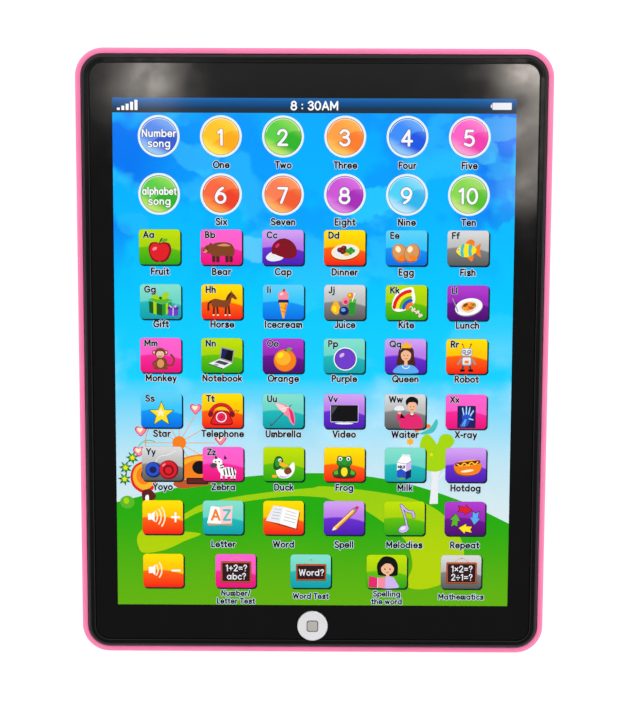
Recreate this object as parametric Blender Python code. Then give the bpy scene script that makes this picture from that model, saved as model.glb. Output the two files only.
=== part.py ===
"""Kids toy tablet: a pink rear casing, a black front housing with a printed touch panel, one push button,
a sliding power switch, a speaker, a main board and a three-cell battery box behind a hinged door.

The tablet lies on its back. Origin: middle of the back face. +X to the right, +Y to the top edge,
+Z out of the screen. Blender units are metres."""

from math import cos, pi, radians, sin

import bmesh
import bpy
from mathutils import Matrix, Vector

MM = 0.001

# Driving dimensions
WIDTH = 185 * MM
HEIGHT = 240 * MM
THICKNESS = 23 * MM
CORNER_RADIUS = 11 * MM
GAP = 0.3 * MM

# Rear casing
WALL = 2.3 * MM
FLOOR = 2.2 * MM
REAR_LIP_Z = THICKNESS - 1.6 * MM
REAR_EDGE_HEIGHT = 4.0 * MM
REAR_EDGE_INSET = 2.4 * MM
REAR_EDGE_STEPS = 4

# Front housing
RIM_WIDTH = 2.9 * MM
RIM_ROUND = 1.3 * MM
SKIRT_WALL = 1.4 * MM
SKIRT_Z = THICKNESS - 7.0 * MM
PLATE_BOTTOM = THICKNESS - 3.8 * MM
FILM_LEDGE_Z = THICKNESS - 1.05 * MM
POCKET_FLOOR_Z = THICKNESS - 2.1 * MM

# Touch panel
FILM_THICKNESS = 0.3 * MM
FILM_Z = THICKNESS - 0.85 * MM
MEMBRANE_THICKNESS = 0.15 * MM
MEMBRANE_STEP = 0.35 * MM
MEMBRANE_Z = POCKET_FLOOR_Z + 0.2 * MM
PANEL_WIDTH = 160 * MM
PANEL_HEIGHT = 203 * MM
PANEL_RADIUS = 2 * MM
KEY_COLUMNS = 6
KEY_PITCH_X = 24.05 * MM
KEY_ROW_TOP_Y = 86.2 * MM
KEY_ROW_SECOND_Y = 63.9 * MM
KEY_ROW_PICTURE_Y = 43.3 * MM
KEY_PITCH_Y = 21.5 * MM
KEY_PICTURE_ROWS = 7
BOTTOM_ROW_COLUMNS = 5
BOTTOM_ROW_PITCH = 29.6 * MM
KEY_HOLE_RADIUS = 5.2 * MM

# Home button and its switch
BUTTON_Y = -108.8 * MM
BUTTON_RADIUS = 6.1 * MM
BUTTON_TOP_Z = THICKNESS
BUTTON_FLANGE_RADIUS = 6.8 * MM
BUTTON_FLANGE_THICKNESS = 1 * MM
BUTTON_STEM_RADIUS = 2.2 * MM
BUTTON_TRAVEL = 0.5 * MM
PLUNGER_RADIUS = 1.6 * MM
PLUNGER_TOP_Z = 16.5 * MM
PLUNGER_HOLE_DEPTH = 3.2 * MM
PLUNGER_STANDS_OUT = 0.9 * MM
HOME_SWITCH_SIDE = 6.2 * MM

# Main board
BOARD_SIZE = (78 * MM, 34 * MM)
BOARD_Y = -98.5 * MM
BOARD_Z = 10.6 * MM
BOARD_THICKNESS = 1.2 * MM
BOARD_TOP_Z = BOARD_Z + BOARD_THICKNESS
BOARD_POSTS = ((-34 * MM, -86 * MM), (34 * MM, -86 * MM), (0.0, -86 * MM))
TAIL_X = -20 * MM
TAIL_WIDTH = 16 * MM
TAIL_Y = -95.5 * MM
TAIL_RUN_Z = BOARD_TOP_Z + 1.6 * MM
TAIL_BEND = 1.5 * MM
TAIL_REACH = 5.5 * MM
CONNECTOR_DEPTH = 5 * MM
CONNECTOR_HEIGHT = 2.8 * MM
CONNECTOR_FRONT_Y = TAIL_Y - 3.2 * MM
CHIP_XY = (20 * MM, -100 * MM)

# Battery box: AA cells side by side, their axes along X
CELL_RADIUS = 7.25 * MM
CELL_LENGTH = 50.5 * MM
CELL_PITCH = 15.2 * MM
CELL_Z = 9.65 * MM
NUB_RADIUS = 2.7 * MM
NUB_LENGTH = 1.2 * MM
BOX_Y = 22 * MM
BOX_INNER = (61 * MM, 46.4 * MM)
BOX_WALL = 2.5 * MM
BOX_CEILING_Z = 17.2 * MM
BOX_TOP_Z = 18.4 * MM
CONTACT_X = BOX_INNER[0] / 2 - GAP
CONTACT_THICKNESS = 0.4 * MM
CONTACT_SIDE = 11 * MM
SOLDER_TAB_Z = 15 * MM

# Battery door
DOOR_LEDGE = 1.3 * MM
DOOR_SEAT_Z = 2.3 * MM
DOOR_TOP_Z = 1.9 * MM
DOOR_RECESS = 0.1 * MM
TONGUE_WIDTH = 13 * MM
TONGUE_END_Y = 57 * MM
TONGUE_TOP_Z = 3.6 * MM
DOOR_SCREW_Y = 51.6 * MM
DOOR_SCREW_WELL_Z = 2.2 * MM
HOOK_XS = (-18 * MM, 18 * MM)
HOOK_WIDTH = 8 * MM
HOOK_UNDER_Z = 2.5 * MM
HOOK_TOP_Z = 4 * MM
HOOK_REACH = 4.1 * MM
HOOK_SLOT_TOP_Z = 5.8 * MM
HINGE_Y = BOX_Y - BOX_INNER[1] / 2 - DOOR_LEDGE + GAP / 2

# Speaker
SPEAKER_XY = (0.0, -43 * MM)
SPEAKER_RADIUS = 20 * MM
SPEAKER_BASE_Z = FLOOR + GAP
CONE_RADIUS = 15 * MM
MAGNET_RADIUS = 9.5 * MM
SPEAKER_EAR_TOP_Z = SPEAKER_BASE_Z + 4.9 * MM
GRILLE_HOLE_RADIUS = 0.9 * MM
GRILLE_RINGS = 4
GRILLE_RING_STEP = 3.6 * MM
SPEAKER_SCREW_X = 22.6 * MM
SPEAKER_BOSS_TOP_Z = 6.2 * MM

# Power switch, in the right-hand side wall
SWITCH_Y = 72 * MM
SWITCH_Z = 10 * MM
SWITCH_TRAVEL = 3.2 * MM
SWITCH_BODY = (6.4 * MM, 14 * MM, 6.4 * MM)
KNOB_HALF = (2.4 * MM, 2.0 * MM)
KNOB_STEM_HALF = (1.0 * MM, 0.8 * MM)
SWITCH_RIB = 1.4 * MM
SWITCH_BODY_X = WIDTH / 2 - WALL - GAP - SWITCH_BODY[0] / 2

# Case screws
CASE_SCREWS = tuple((x * MM, y * MM) for y in (104, 2, -100) for x in (-80, 80))
SCREW_WELL_RADIUS = 3.4 * MM
SCREW_SHANK_RADIUS = 1.2 * MM
SCREW_HOLE_RADIUS = 1.5 * MM
SCREW_HEAD_RADIUS = 2.7 * MM
SCREW_HEAD_HEIGHT = 1.5 * MM
REAR_BOSS_RADIUS = 4.7 * MM
REAR_BOSS_TOP_Z = 12 * MM
FRONT_BOSS_RADIUS = 3.6 * MM
BOARD_POST_RADIUS = 2.8 * MM
WELL_TOP_Z = 8 * MM

# Wires
WIRE_RADIUS = 0.6 * MM

CORNER_STEPS = 7
ROUND_SIDES = 24
SMALL_SIDES = 12

# How far a cutter runs past the wall that it cuts, and where a joined solid starts inside the floor
PAST = 1 * MM
ROOT_Z = 1 * MM

# Turns a prism drawn in the Y-Z plane to run along X
ALONG_X = Matrix(((0, 0, 1, 0), (1, 0, 0, 0), (0, 1, 0, 0), (0, 0, 0, 1)))


def clear_scene():
    for item in list(bpy.data.objects):
        bpy.data.objects.remove(item, do_unlink=True)


def material(name, color, roughness, metallic=0.0):
    made = bpy.data.materials.get(name)
    if made:
        return made
    made = bpy.data.materials.new(name)
    made.use_nodes = True
    shader = made.node_tree.nodes["Principled BSDF"]
    shader.inputs["Base Color"].default_value = (*color, 1.0)
    shader.inputs["Roughness"].default_value = roughness
    shader.inputs["Metallic"].default_value = metallic
    return made


def pink_plastic():
    return material("pink_plastic", (0.95, 0.19, 0.42), 0.35)


def black_gloss():
    return material("black_gloss", (0.01, 0.01, 0.011), 0.12)


def clear_polyester():
    return material("clear_polyester", (0.75, 0.78, 0.72), 0.3)


def steel():
    return material("steel", (0.6, 0.6, 0.62), 0.3, 1.0)


def black_plastic():
    return material("black_plastic", (0.02, 0.02, 0.02), 0.5)


# ---- shape helpers: each adds a closed solid to a bmesh ----


def rounded_rectangle(width, height, radius, centre=(0.0, 0.0), steps=CORNER_STEPS):
    """Outline points, anticlockwise, with each corner as an arc."""
    points = []
    corners = ((1, 1, 0), (-1, 1, 90), (-1, -1, 180), (1, -1, 270))
    for side_x, side_y, start in corners:
        middle_x = centre[0] + side_x * (width / 2 - radius)
        middle_y = centre[1] + side_y * (height / 2 - radius)
        for step in range(steps + 1):
            angle = radians(start + 90 * step / steps)
            points.append((middle_x + radius * cos(angle), middle_y + radius * sin(angle)))
    return points


def rectangle(width, height, centre=(0.0, 0.0)):
    x, y = centre
    w, h = width / 2, height / 2
    return [(x + w, y + h), (x - w, y + h), (x - w, y - h), (x + w, y - h)]


def circle(radius, centre=(0.0, 0.0), sides=ROUND_SIDES):
    turns = [2 * pi * step / sides for step in range(sides)]
    return [(centre[0] + radius * cos(a), centre[1] + radius * sin(a)) for a in turns]


def stack(bm, levels, frame=Matrix()):
    """Joins outlines of equal length, each given as (outline, z), into one closed solid with flat ends."""
    rings = [[bm.verts.new(frame @ Vector((x, y, z))) for x, y in outline] for outline, z in levels]
    made = [bm.faces.new(rings[0][::-1]), bm.faces.new(rings[-1])]
    for lower, upper in zip(rings, rings[1:]):
        count = len(lower)
        for i in range(count):
            j = (i + 1) % count
            made.append(bm.faces.new((lower[i], lower[j], upper[j], upper[i])))
    bmesh.ops.recalc_face_normals(bm, faces=made)


def prism(bm, outline, low, high, frame=Matrix()):
    stack(bm, [(outline, low), (outline, high)], frame)


def box(bm, low, high):
    middle = [(a + b) / 2 for a, b in zip(low, high)]
    prism(bm, rectangle(high[0] - low[0], high[1] - low[1], middle[:2]), low[2], high[2])


def turned(bm, profile, centre=(0.0, 0.0, 0.0), sides=ROUND_SIDES, frame=Matrix()):
    """A solid turned about Z from (radius, z) points, from the axis and back to it, bottom first."""
    place = Matrix.Translation(centre) @ frame
    bottom = bm.verts.new(place @ Vector((0, 0, profile[0][1])))
    top = bm.verts.new(place @ Vector((0, 0, profile[-1][1])))
    rings = [
        [bm.verts.new(place @ Vector((x, y, z))) for x, y in circle(radius, sides=sides)]
        for radius, z in profile[1:-1]
    ]
    made = []
    for i in range(sides):
        j = (i + 1) % sides
        made.append(bm.faces.new((bottom, rings[0][j], rings[0][i])))
        made.append(bm.faces.new((top, rings[-1][i], rings[-1][j])))
        for lower, upper in zip(rings, rings[1:]):
            made.append(bm.faces.new((lower[i], lower[j], upper[j], upper[i])))
    bmesh.ops.recalc_face_normals(bm, faces=made)


def piece(name, bm, look, origin=(0.0, 0.0, 0.0), smooth=False):
    """Turns a bmesh in world coordinates into an object whose origin is at the given point."""
    bmesh.ops.translate(bm, verts=bm.verts, vec=-Vector(origin))
    mesh = bpy.data.meshes.new(name)
    bm.to_mesh(mesh)
    bm.free()
    if smooth:
        mesh.shade_smooth()
        mesh.set_sharp_from_angle(angle=radians(40))
    made = bpy.data.objects.new(name, mesh)
    made.location = origin
    mesh.materials.append(look)
    bpy.context.scene.collection.objects.link(made)
    return made


def helper(name, bm):
    made = piece(name, bm, black_plastic())
    made.hide_render = True
    made.display_type = "WIRE"
    return made


def boolean(target, other, operation):
    change = target.modifiers.new(other.name, "BOOLEAN")
    change.operation = operation
    change.object = other
    change.solver = "EXACT"
    return change


def add(target, name, bm):
    boolean(target, helper(name, bm), "UNION")


def cut(target, name, bm):
    boolean(target, helper(name, bm), "DIFFERENCE")


def outline_inset(inset):
    """The tablet's own outline, moved inwards."""
    radius = max(CORNER_RADIUS - inset, 0.5 * MM)
    return rounded_rectangle(WIDTH - 2 * inset, HEIGHT - 2 * inset, radius)


# ---- casing ----


def rear_casing():
    bm = bmesh.new()
    levels = []
    for step in range(REAR_EDGE_STEPS + 1):
        angle = radians(90 * step / REAR_EDGE_STEPS)
        inset = REAR_EDGE_INSET * (1 - sin(angle))
        levels.append((outline_inset(inset), REAR_EDGE_HEIGHT * (1 - cos(angle))))
    levels.append((outline_inset(0), REAR_LIP_Z - 0.8 * MM))
    levels.append((outline_inset(0.3 * MM), REAR_LIP_Z - 0.2 * MM))
    levels.append((outline_inset(0.9 * MM), REAR_LIP_Z))
    levels.append((outline_inset(WALL), REAR_LIP_Z))
    levels.append((outline_inset(WALL), FLOOR))
    stack(bm, levels)
    casing = piece("rear_casing", bm, pink_plastic())

    solids = bmesh.new()
    box_outer = rectangle(BOX_INNER[0] + 2 * BOX_WALL, BOX_INNER[1] + 2 * BOX_WALL, (0, BOX_Y))
    prism(solids, box_outer, ROOT_Z, BOX_TOP_Z)
    for place in CASE_SCREWS:
        prism(solids, circle(REAR_BOSS_RADIUS, place, SMALL_SIDES), ROOT_Z, REAR_BOSS_TOP_Z)
    for place in speaker_screw_places():
        prism(solids, circle(2.6 * MM, place, SMALL_SIDES), ROOT_Z, SPEAKER_BOSS_TOP_Z)
    add(casing, "casing_solids", solids)

    switch_seat = bmesh.new()
    back_x = SWITCH_BODY_X - SWITCH_BODY[0] / 2 - GAP
    inside_wall = WIDTH / 2 - WALL / 2
    for side in (-1, 1):
        rib_y = SWITCH_Y + side * (SWITCH_BODY[1] / 2 + GAP + SWITCH_RIB / 2)
        box(
            switch_seat,
            (back_x, rib_y - SWITCH_RIB / 2, ROOT_Z),
            (inside_wall, rib_y + SWITCH_RIB / 2, SWITCH_Z + SWITCH_BODY[2] / 2),
        )
    add(casing, "switch_ribs", switch_seat)
    shelf = bmesh.new()
    shelf_half = SWITCH_BODY[1] / 2 + GAP + SWITCH_RIB / 2
    box(
        shelf,
        (back_x + 0.5 * MM, SWITCH_Y - shelf_half, ROOT_Z + 0.2 * MM),
        (inside_wall, SWITCH_Y + shelf_half, SWITCH_Z - SWITCH_BODY[2] / 2 - GAP),
    )
    add(casing, "switch_shelf", shelf)
    screw_block = bmesh.new()
    box(screw_block, (-9 * MM, 46 * MM, ROOT_Z + 0.3 * MM), (9 * MM, TONGUE_END_Y + 3 * MM, 9 * MM))
    add(casing, "door_screw_block", screw_block)

    openings = bmesh.new()
    seat = rectangle(BOX_INNER[0] + 2 * DOOR_LEDGE, BOX_INNER[1] + 2 * DOOR_LEDGE, (0, BOX_Y))
    inner = rectangle(*BOX_INNER, (0, BOX_Y))
    stack(openings, [(seat, -PAST), (seat, DOOR_SEAT_Z), (inner, DOOR_SEAT_Z), (inner, BOX_CEILING_Z)])
    for place in CASE_SCREWS:
        well = circle(SCREW_WELL_RADIUS, place, SMALL_SIDES)
        shaft = circle(SCREW_HOLE_RADIUS, place, SMALL_SIDES)
        top = REAR_BOSS_TOP_Z + PAST
        stack(openings, [(well, -PAST), (well, WELL_TOP_Z), (shaft, WELL_TOP_Z), (shaft, top)])
    for place in speaker_screw_places():
        prism(openings, circle(1.3 * MM, place, 8), FLOOR + 0.4 * MM, SPEAKER_BOSS_TOP_Z + PAST)
    for place in grille_holes():
        prism(openings, circle(GRILLE_HOLE_RADIUS, place, 8), -PAST, FLOOR + PAST)
    window_y = SWITCH_TRAVEL / 2 + KNOB_HALF[0] + GAP
    window_z = KNOB_HALF[1] + GAP
    box(
        openings,
        (WIDTH / 2 - WALL - 0.5 * MM, SWITCH_Y - window_y, SWITCH_Z - window_z),
        (WIDTH / 2 + PAST, SWITCH_Y + window_y, SWITCH_Z + window_z),
    )
    cut(casing, "casing_openings", openings)

    door_cuts = bmesh.new()
    notch_x = TONGUE_WIDTH / 2 + GAP
    inner_high_y = BOX_Y + BOX_INNER[1] / 2
    box(
        door_cuts,
        (-notch_x, inner_high_y - 0.4 * MM, -PAST),
        (notch_x, TONGUE_END_Y + GAP, TONGUE_TOP_Z + GAP),
    )
    hook_low_y = BOX_Y - BOX_INNER[1] / 2 - BOX_WALL - PAST
    for x in HOOK_XS:
        half = HOOK_WIDTH / 2 + GAP
        high_y = hook_low_y + BOX_WALL + 1.5 * PAST
        box(door_cuts, (x - half, hook_low_y, FLOOR - 0.1 * MM), (x + half, high_y, HOOK_SLOT_TOP_Z))
    cut(casing, "door_cuts", door_cuts)

    small_cuts = bmesh.new()
    prism(small_cuts, circle(SCREW_HOLE_RADIUS, (0, DOOR_SCREW_Y), SMALL_SIDES), 3 * MM, 7.5 * MM)
    for side, cell_y in ((1, cell_ys()[0]), (-1, cell_ys()[2])):
        wall_x = side * (BOX_INNER[0] + BOX_WALL) / 2
        reach = BOX_WALL / 2 + PAST
        half_y, half_z = 2 * MM, 0.8 * MM
        box(
            small_cuts,
            (wall_x - reach, cell_y - half_y, SOLDER_TAB_Z - half_z),
            (wall_x + reach, cell_y + half_y, SOLDER_TAB_Z + half_z),
        )
    cut(casing, "small_cuts", small_cuts)


def speaker_screw_places():
    return [(SPEAKER_XY[0] + side * SPEAKER_SCREW_X, SPEAKER_XY[1]) for side in (-1, 1)]


def grille_holes():
    """Speaker holes: one in the middle and rings around it, six more in each."""
    holes = [SPEAKER_XY]
    for ring in range(1, GRILLE_RINGS + 1):
        for step in range(6 * ring):
            angle = 2 * pi * step / (6 * ring)
            reach = ring * GRILLE_RING_STEP
            holes.append((SPEAKER_XY[0] + reach * cos(angle), SPEAKER_XY[1] + reach * sin(angle)))
    return holes


def front_housing():
    outer = WALL + GAP
    inner = outer + RIM_WIDTH
    bm = bmesh.new()
    skirt_inner = outer + SKIRT_WALL
    levels = [
        (outline_inset(skirt_inner), PLATE_BOTTOM),
        (outline_inset(skirt_inner), SKIRT_Z),
        (outline_inset(outer), SKIRT_Z),
    ]
    for step in range(4):
        angle = radians(90 * step / 3)
        inset = outer + RIM_ROUND * (1 - cos(angle))
        levels.append((outline_inset(inset), THICKNESS - RIM_ROUND * (1 - sin(angle))))
    levels.append((outline_inset(inner - 0.3 * MM), THICKNESS))
    levels.append((outline_inset(inner), THICKNESS - 0.3 * MM))
    levels.append((outline_inset(inner), FILM_LEDGE_Z))
    stack(bm, levels)
    housing = piece("front_housing", bm, black_gloss())

    posts = bmesh.new()
    plate_middle = (PLATE_BOTTOM + POCKET_FLOOR_Z) / 2
    for place in CASE_SCREWS:
        prism(posts, circle(FRONT_BOSS_RADIUS, place, SMALL_SIDES), REAR_BOSS_TOP_Z + GAP, plate_middle)
    for place in BOARD_POSTS:
        prism(posts, circle(BOARD_POST_RADIUS, place, SMALL_SIDES), BOARD_TOP_Z + GAP, plate_middle)
    add(housing, "housing_posts", posts)

    cuts = bmesh.new()
    pocket = rounded_rectangle(PANEL_WIDTH + 2 * GAP, PANEL_HEIGHT + 2 * GAP, PANEL_RADIUS, steps=3)
    prism(cuts, pocket, POCKET_FLOOR_Z, THICKNESS + PAST)
    prism(cuts, circle(BUTTON_RADIUS + GAP, (0, BUTTON_Y)), SKIRT_Z, THICKNESS + PAST)
    cut(housing, "panel_pocket", cuts)

    holes = bmesh.new()
    for place in CASE_SCREWS:
        prism(holes, circle(SCREW_HOLE_RADIUS, place, SMALL_SIDES), REAR_BOSS_TOP_Z - PAST, 18 * MM)
    for place in BOARD_POSTS:
        prism(holes, circle(SCREW_HOLE_RADIUS, place, SMALL_SIDES), BOARD_Z, 17 * MM)
    slot = rectangle(TAIL_WIDTH + 2 * MM, 2.4 * MM, (TAIL_X, TAIL_Y))
    prism(holes, slot, SKIRT_Z, THICKNESS)
    cut(housing, "screw_holes", holes)


# ---- touch panel ----


def key_places():
    """Middle of each printed key: six columns of discs and pictures, then a row of five wider apart."""
    rows = [KEY_ROW_TOP_Y, KEY_ROW_SECOND_Y]
    rows += [KEY_ROW_PICTURE_Y - KEY_PITCH_Y * row for row in range(KEY_PICTURE_ROWS - 1)]
    places = [
        ((column - (KEY_COLUMNS - 1) / 2) * KEY_PITCH_X, y) for y in rows for column in range(KEY_COLUMNS)
    ]
    bottom_y = KEY_ROW_PICTURE_Y - KEY_PITCH_Y * (KEY_PICTURE_ROWS - 1)
    half = (BOTTOM_ROW_COLUMNS - 1) / 2
    places += [((column - half) * BOTTOM_ROW_PITCH, bottom_y) for column in range(BOTTOM_ROW_COLUMNS)]
    return places


def face_film():
    inset = WALL + RIM_WIDTH + 2 * GAP
    bm = bmesh.new()
    prism(bm, outline_inset(inset), FILM_Z, FILM_Z + FILM_THICKNESS)
    film = piece("face_film", bm, black_gloss())
    hole = bmesh.new()
    prism(hole, circle(BUTTON_RADIUS + GAP, (0, BUTTON_Y)), FILM_Z - PAST, FILM_Z + PAST)
    cut(film, "film_hole", hole)


def membranes():
    outline = rounded_rectangle(PANEL_WIDTH, PANEL_HEIGHT, PANEL_RADIUS, steps=3)
    for level, name in enumerate(("lower_membrane", "spacer_membrane", "upper_membrane")):
        low = MEMBRANE_Z + level * MEMBRANE_STEP
        bm = bmesh.new()
        prism(bm, outline, low, low + MEMBRANE_THICKNESS)
        sheet = piece(name, bm, clear_polyester())
        if name == "spacer_membrane":
            holes = bmesh.new()
            for place in key_places():
                prism(holes, circle(KEY_HOLE_RADIUS, place, 8), low - 0.1 * MM, low + 0.4 * MM)
            cut(sheet, "key_holes", holes)
        if name == "lower_membrane":
            add(sheet, "tail_strip", tail_strip(low))


def tail_strip(sheet_z):
    """The flat tail: straight down through the housing, then a round bend into the connector."""
    half = MEMBRANE_THICKNESS / 2
    middle_y, middle_z = TAIL_Y - TAIL_BEND, TAIL_RUN_Z + TAIL_BEND
    outer = [(TAIL_Y + half, sheet_z + half)]
    inner = [(TAIL_Y - half, sheet_z + half)]
    for step in range(5):
        angle = -radians(90 * step / 4)
        for side, reach in ((outer, TAIL_BEND + half), (inner, TAIL_BEND - half)):
            side.append((middle_y + reach * cos(angle), middle_z + reach * sin(angle)))
    outer.append((TAIL_Y - TAIL_REACH, TAIL_RUN_Z - half))
    inner.append((TAIL_Y - TAIL_REACH, TAIL_RUN_Z + half))
    bm = bmesh.new()
    prism(bm, outer + inner[::-1], TAIL_X - TAIL_WIDTH / 2, TAIL_X + TAIL_WIDTH / 2, ALONG_X)
    return bm


# ---- home button and main board ----


def home_button():
    flange_top = PLATE_BOTTOM - GAP
    flange_bottom = flange_top - BUTTON_FLANGE_THICKNESS
    bm = bmesh.new()
    profile = [
        (0, PLUNGER_TOP_Z + GAP),
        (BUTTON_STEM_RADIUS, PLUNGER_TOP_Z + GAP),
        (BUTTON_STEM_RADIUS, flange_bottom),
        (BUTTON_FLANGE_RADIUS, flange_bottom),
        (BUTTON_FLANGE_RADIUS, flange_top),
        (BUTTON_RADIUS, flange_top),
        (BUTTON_RADIUS, BUTTON_TOP_Z - 0.5 * MM),
        (BUTTON_RADIUS - 0.4 * MM, BUTTON_TOP_Z - 0.1 * MM),
        (BUTTON_RADIUS - 1.1 * MM, BUTTON_TOP_Z),
        (0, BUTTON_TOP_Z),
    ]
    turned(bm, profile, (0, BUTTON_Y, 0))
    look = material("white_plastic", (0.8, 0.8, 0.8), 0.35)
    piece("home_button", bm, look, (0, BUTTON_Y, BUTTON_TOP_Z), smooth=True)


def home_switch():
    low = BOARD_TOP_Z + GAP
    top = PLUNGER_TOP_Z - PLUNGER_STANDS_OUT
    bm = bmesh.new()
    prism(bm, rectangle(HOME_SWITCH_SIDE, HOME_SWITCH_SIDE, (0, BUTTON_Y)), low, top)
    body = piece("home_switch_body", bm, black_plastic())
    hole = bmesh.new()
    bottom = PLUNGER_TOP_Z - PLUNGER_HOLE_DEPTH
    prism(hole, circle(PLUNGER_RADIUS + GAP, (0, BUTTON_Y), SMALL_SIDES), bottom, top + PAST)
    cut(body, "plunger_hole", hole)
    stem = bmesh.new()
    stem_bottom = bottom + BUTTON_TRAVEL + GAP
    prism(stem, circle(PLUNGER_RADIUS, (0, BUTTON_Y), SMALL_SIDES), stem_bottom, PLUNGER_TOP_Z)
    piece("home_switch_plunger", stem, black_plastic(), (0, BUTTON_Y, PLUNGER_TOP_Z))


def main_board():
    bm = bmesh.new()
    prism(bm, rectangle(*BOARD_SIZE, (0, BOARD_Y)), BOARD_Z, BOARD_TOP_Z)
    board = piece("main_board", bm, material("green_board", (0.02, 0.16, 0.06), 0.4))
    holes = bmesh.new()
    for place in BOARD_POSTS:
        prism(holes, circle(SCREW_HOLE_RADIUS, place, SMALL_SIDES), BOARD_Z - PAST, BOARD_TOP_Z + PAST)
    cut(board, "board_holes", holes)

    blob = bmesh.new()
    low = BOARD_TOP_Z + GAP
    turned(
        blob,
        [(0, low), (6 * MM, low), (5.2 * MM, low + 0.9 * MM), (3 * MM, low + 1.6 * MM), (0, low + 1.8 * MM)],
        (*CHIP_XY, 0),
        SMALL_SIDES,
    )
    piece("chip_blob", blob, material("black_epoxy", (0.015, 0.015, 0.015), 0.3), smooth=True)

    connector = bmesh.new()
    half_x, half_mouth = TAIL_WIDTH / 2, 0.4 * MM
    box(
        connector,
        (TAIL_X - half_x - 2 * MM, CONNECTOR_FRONT_Y - CONNECTOR_DEPTH, low),
        (TAIL_X + half_x + 2 * MM, CONNECTOR_FRONT_Y, low + CONNECTOR_HEIGHT),
    )
    socket = piece("tail_connector", connector, material("cream_nylon", (0.75, 0.7, 0.58), 0.45))
    mouth = bmesh.new()
    box(
        mouth,
        (TAIL_X - half_x - GAP, TAIL_Y - TAIL_REACH - GAP, TAIL_RUN_Z - half_mouth),
        (TAIL_X + half_x + GAP, CONNECTOR_FRONT_Y + PAST, TAIL_RUN_Z + half_mouth),
    )
    cut(socket, "connector_mouth", mouth)


# ---- battery box ----


def cell_ys():
    return [BOX_Y + CELL_PITCH * step for step in (-1, 0, 1)]


def cells():
    """Three cells in series: neighbours face opposite ways."""
    tip_x = CONTACT_X - CONTACT_THICKNESS - GAP
    for index, y in enumerate(cell_ys()):
        side = 1 if index % 2 == 0 else -1
        place = Matrix.Translation((side * tip_x, y, CELL_Z)) @ Matrix.Rotation(side * pi / 2, 4, "Y")
        base, shoulder = -CELL_LENGTH, -NUB_LENGTH
        profile = [
            (0, base),
            (CELL_RADIUS - 0.8 * MM, base),
            (CELL_RADIUS, base + 0.6 * MM),
            (CELL_RADIUS, shoulder - 0.8 * MM),
            (CELL_RADIUS - 1.0 * MM, shoulder),
            (NUB_RADIUS, shoulder),
            (NUB_RADIUS, 0),
            (0, 0),
        ]
        bm = bmesh.new()
        turned(bm, profile, sides=20, frame=place)
        piece(f"battery_{index + 1}", bm, material("cell_wrap", (0.05, 0.25, 0.12), 0.35), smooth=True)


def contact_plate(name, side, first_y, last_y, tab_y=None):
    """A sprung-steel plate at one end of the box, with a solder tab through the wall where it has a wire."""
    inner, outer = CONTACT_X - CONTACT_THICKNESS, CONTACT_X
    low, high = sorted((side * inner, side * outer))
    half = CONTACT_SIDE / 2
    bm = bmesh.new()
    box(bm, (low, first_y - half, CELL_Z - half), (high, last_y + half, CELL_Z + half + 0.6 * MM))
    plate = piece(name, bm, steel())
    if tab_y is None:
        return
    tab = bmesh.new()
    near, far = sorted((side * (inner + 0.1 * MM), side * (outer + BOX_WALL + 4 * MM)))
    box(
        tab,
        (near, tab_y - 1.4 * MM, SOLDER_TAB_Z - CONTACT_THICKNESS / 2),
        (far, tab_y + 1.4 * MM, SOLDER_TAB_Z + CONTACT_THICKNESS / 2),
    )
    add(plate, name + "_tab", tab)


def contacts():
    low, middle, high = cell_ys()
    contact_plate("contact_positive", 1, low, low, tab_y=low)
    contact_plate("contact_bridge_left", -1, low, middle)
    contact_plate("contact_bridge_right", 1, middle, high)
    contact_plate("contact_negative", -1, high, high, tab_y=high)


def contact_springs():
    """A conical coil at the flat end of each cell."""
    wire = 0.45 * MM
    turns, steps_per_turn, sides = 3.5, 12, 5
    wide, narrow = 4.4 * MM, 2.2 * MM
    cell_end = CONTACT_X - CONTACT_THICKNESS - GAP - CELL_LENGTH
    start = CONTACT_X - CONTACT_THICKNESS - GAP - wire
    length = start + cell_end - GAP - wire
    count = int(turns * steps_per_turn)
    for index, y in enumerate(cell_ys()):
        side = -1 if index % 2 == 0 else 1
        bm = bmesh.new()
        rings = []
        for step in range(count + 1):
            part = step / count
            angle = 2 * pi * turns * part
            radius = wide + (narrow - wide) * part
            across = Vector((0, cos(angle), sin(angle)))
            along = Vector((-side, 0, 0))
            middle = Vector((side * start, y, CELL_Z)) + along * (length * part) + across * radius
            offsets = [across * u + along * v for u, v in circle(wire, sides=sides)]
            rings.append([bm.verts.new(middle + offset) for offset in offsets])
        made = [bm.faces.new(rings[0][::-1]), bm.faces.new(rings[-1])]
        for first, second in zip(rings, rings[1:]):
            for i in range(sides):
                j = (i + 1) % sides
                made.append(bm.faces.new((first[i], first[j], second[j], second[i])))
        bmesh.ops.recalc_face_normals(bm, faces=bm.faces)
        piece(f"contact_spring_{index + 1}", bm, steel(), smooth=True)


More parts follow.
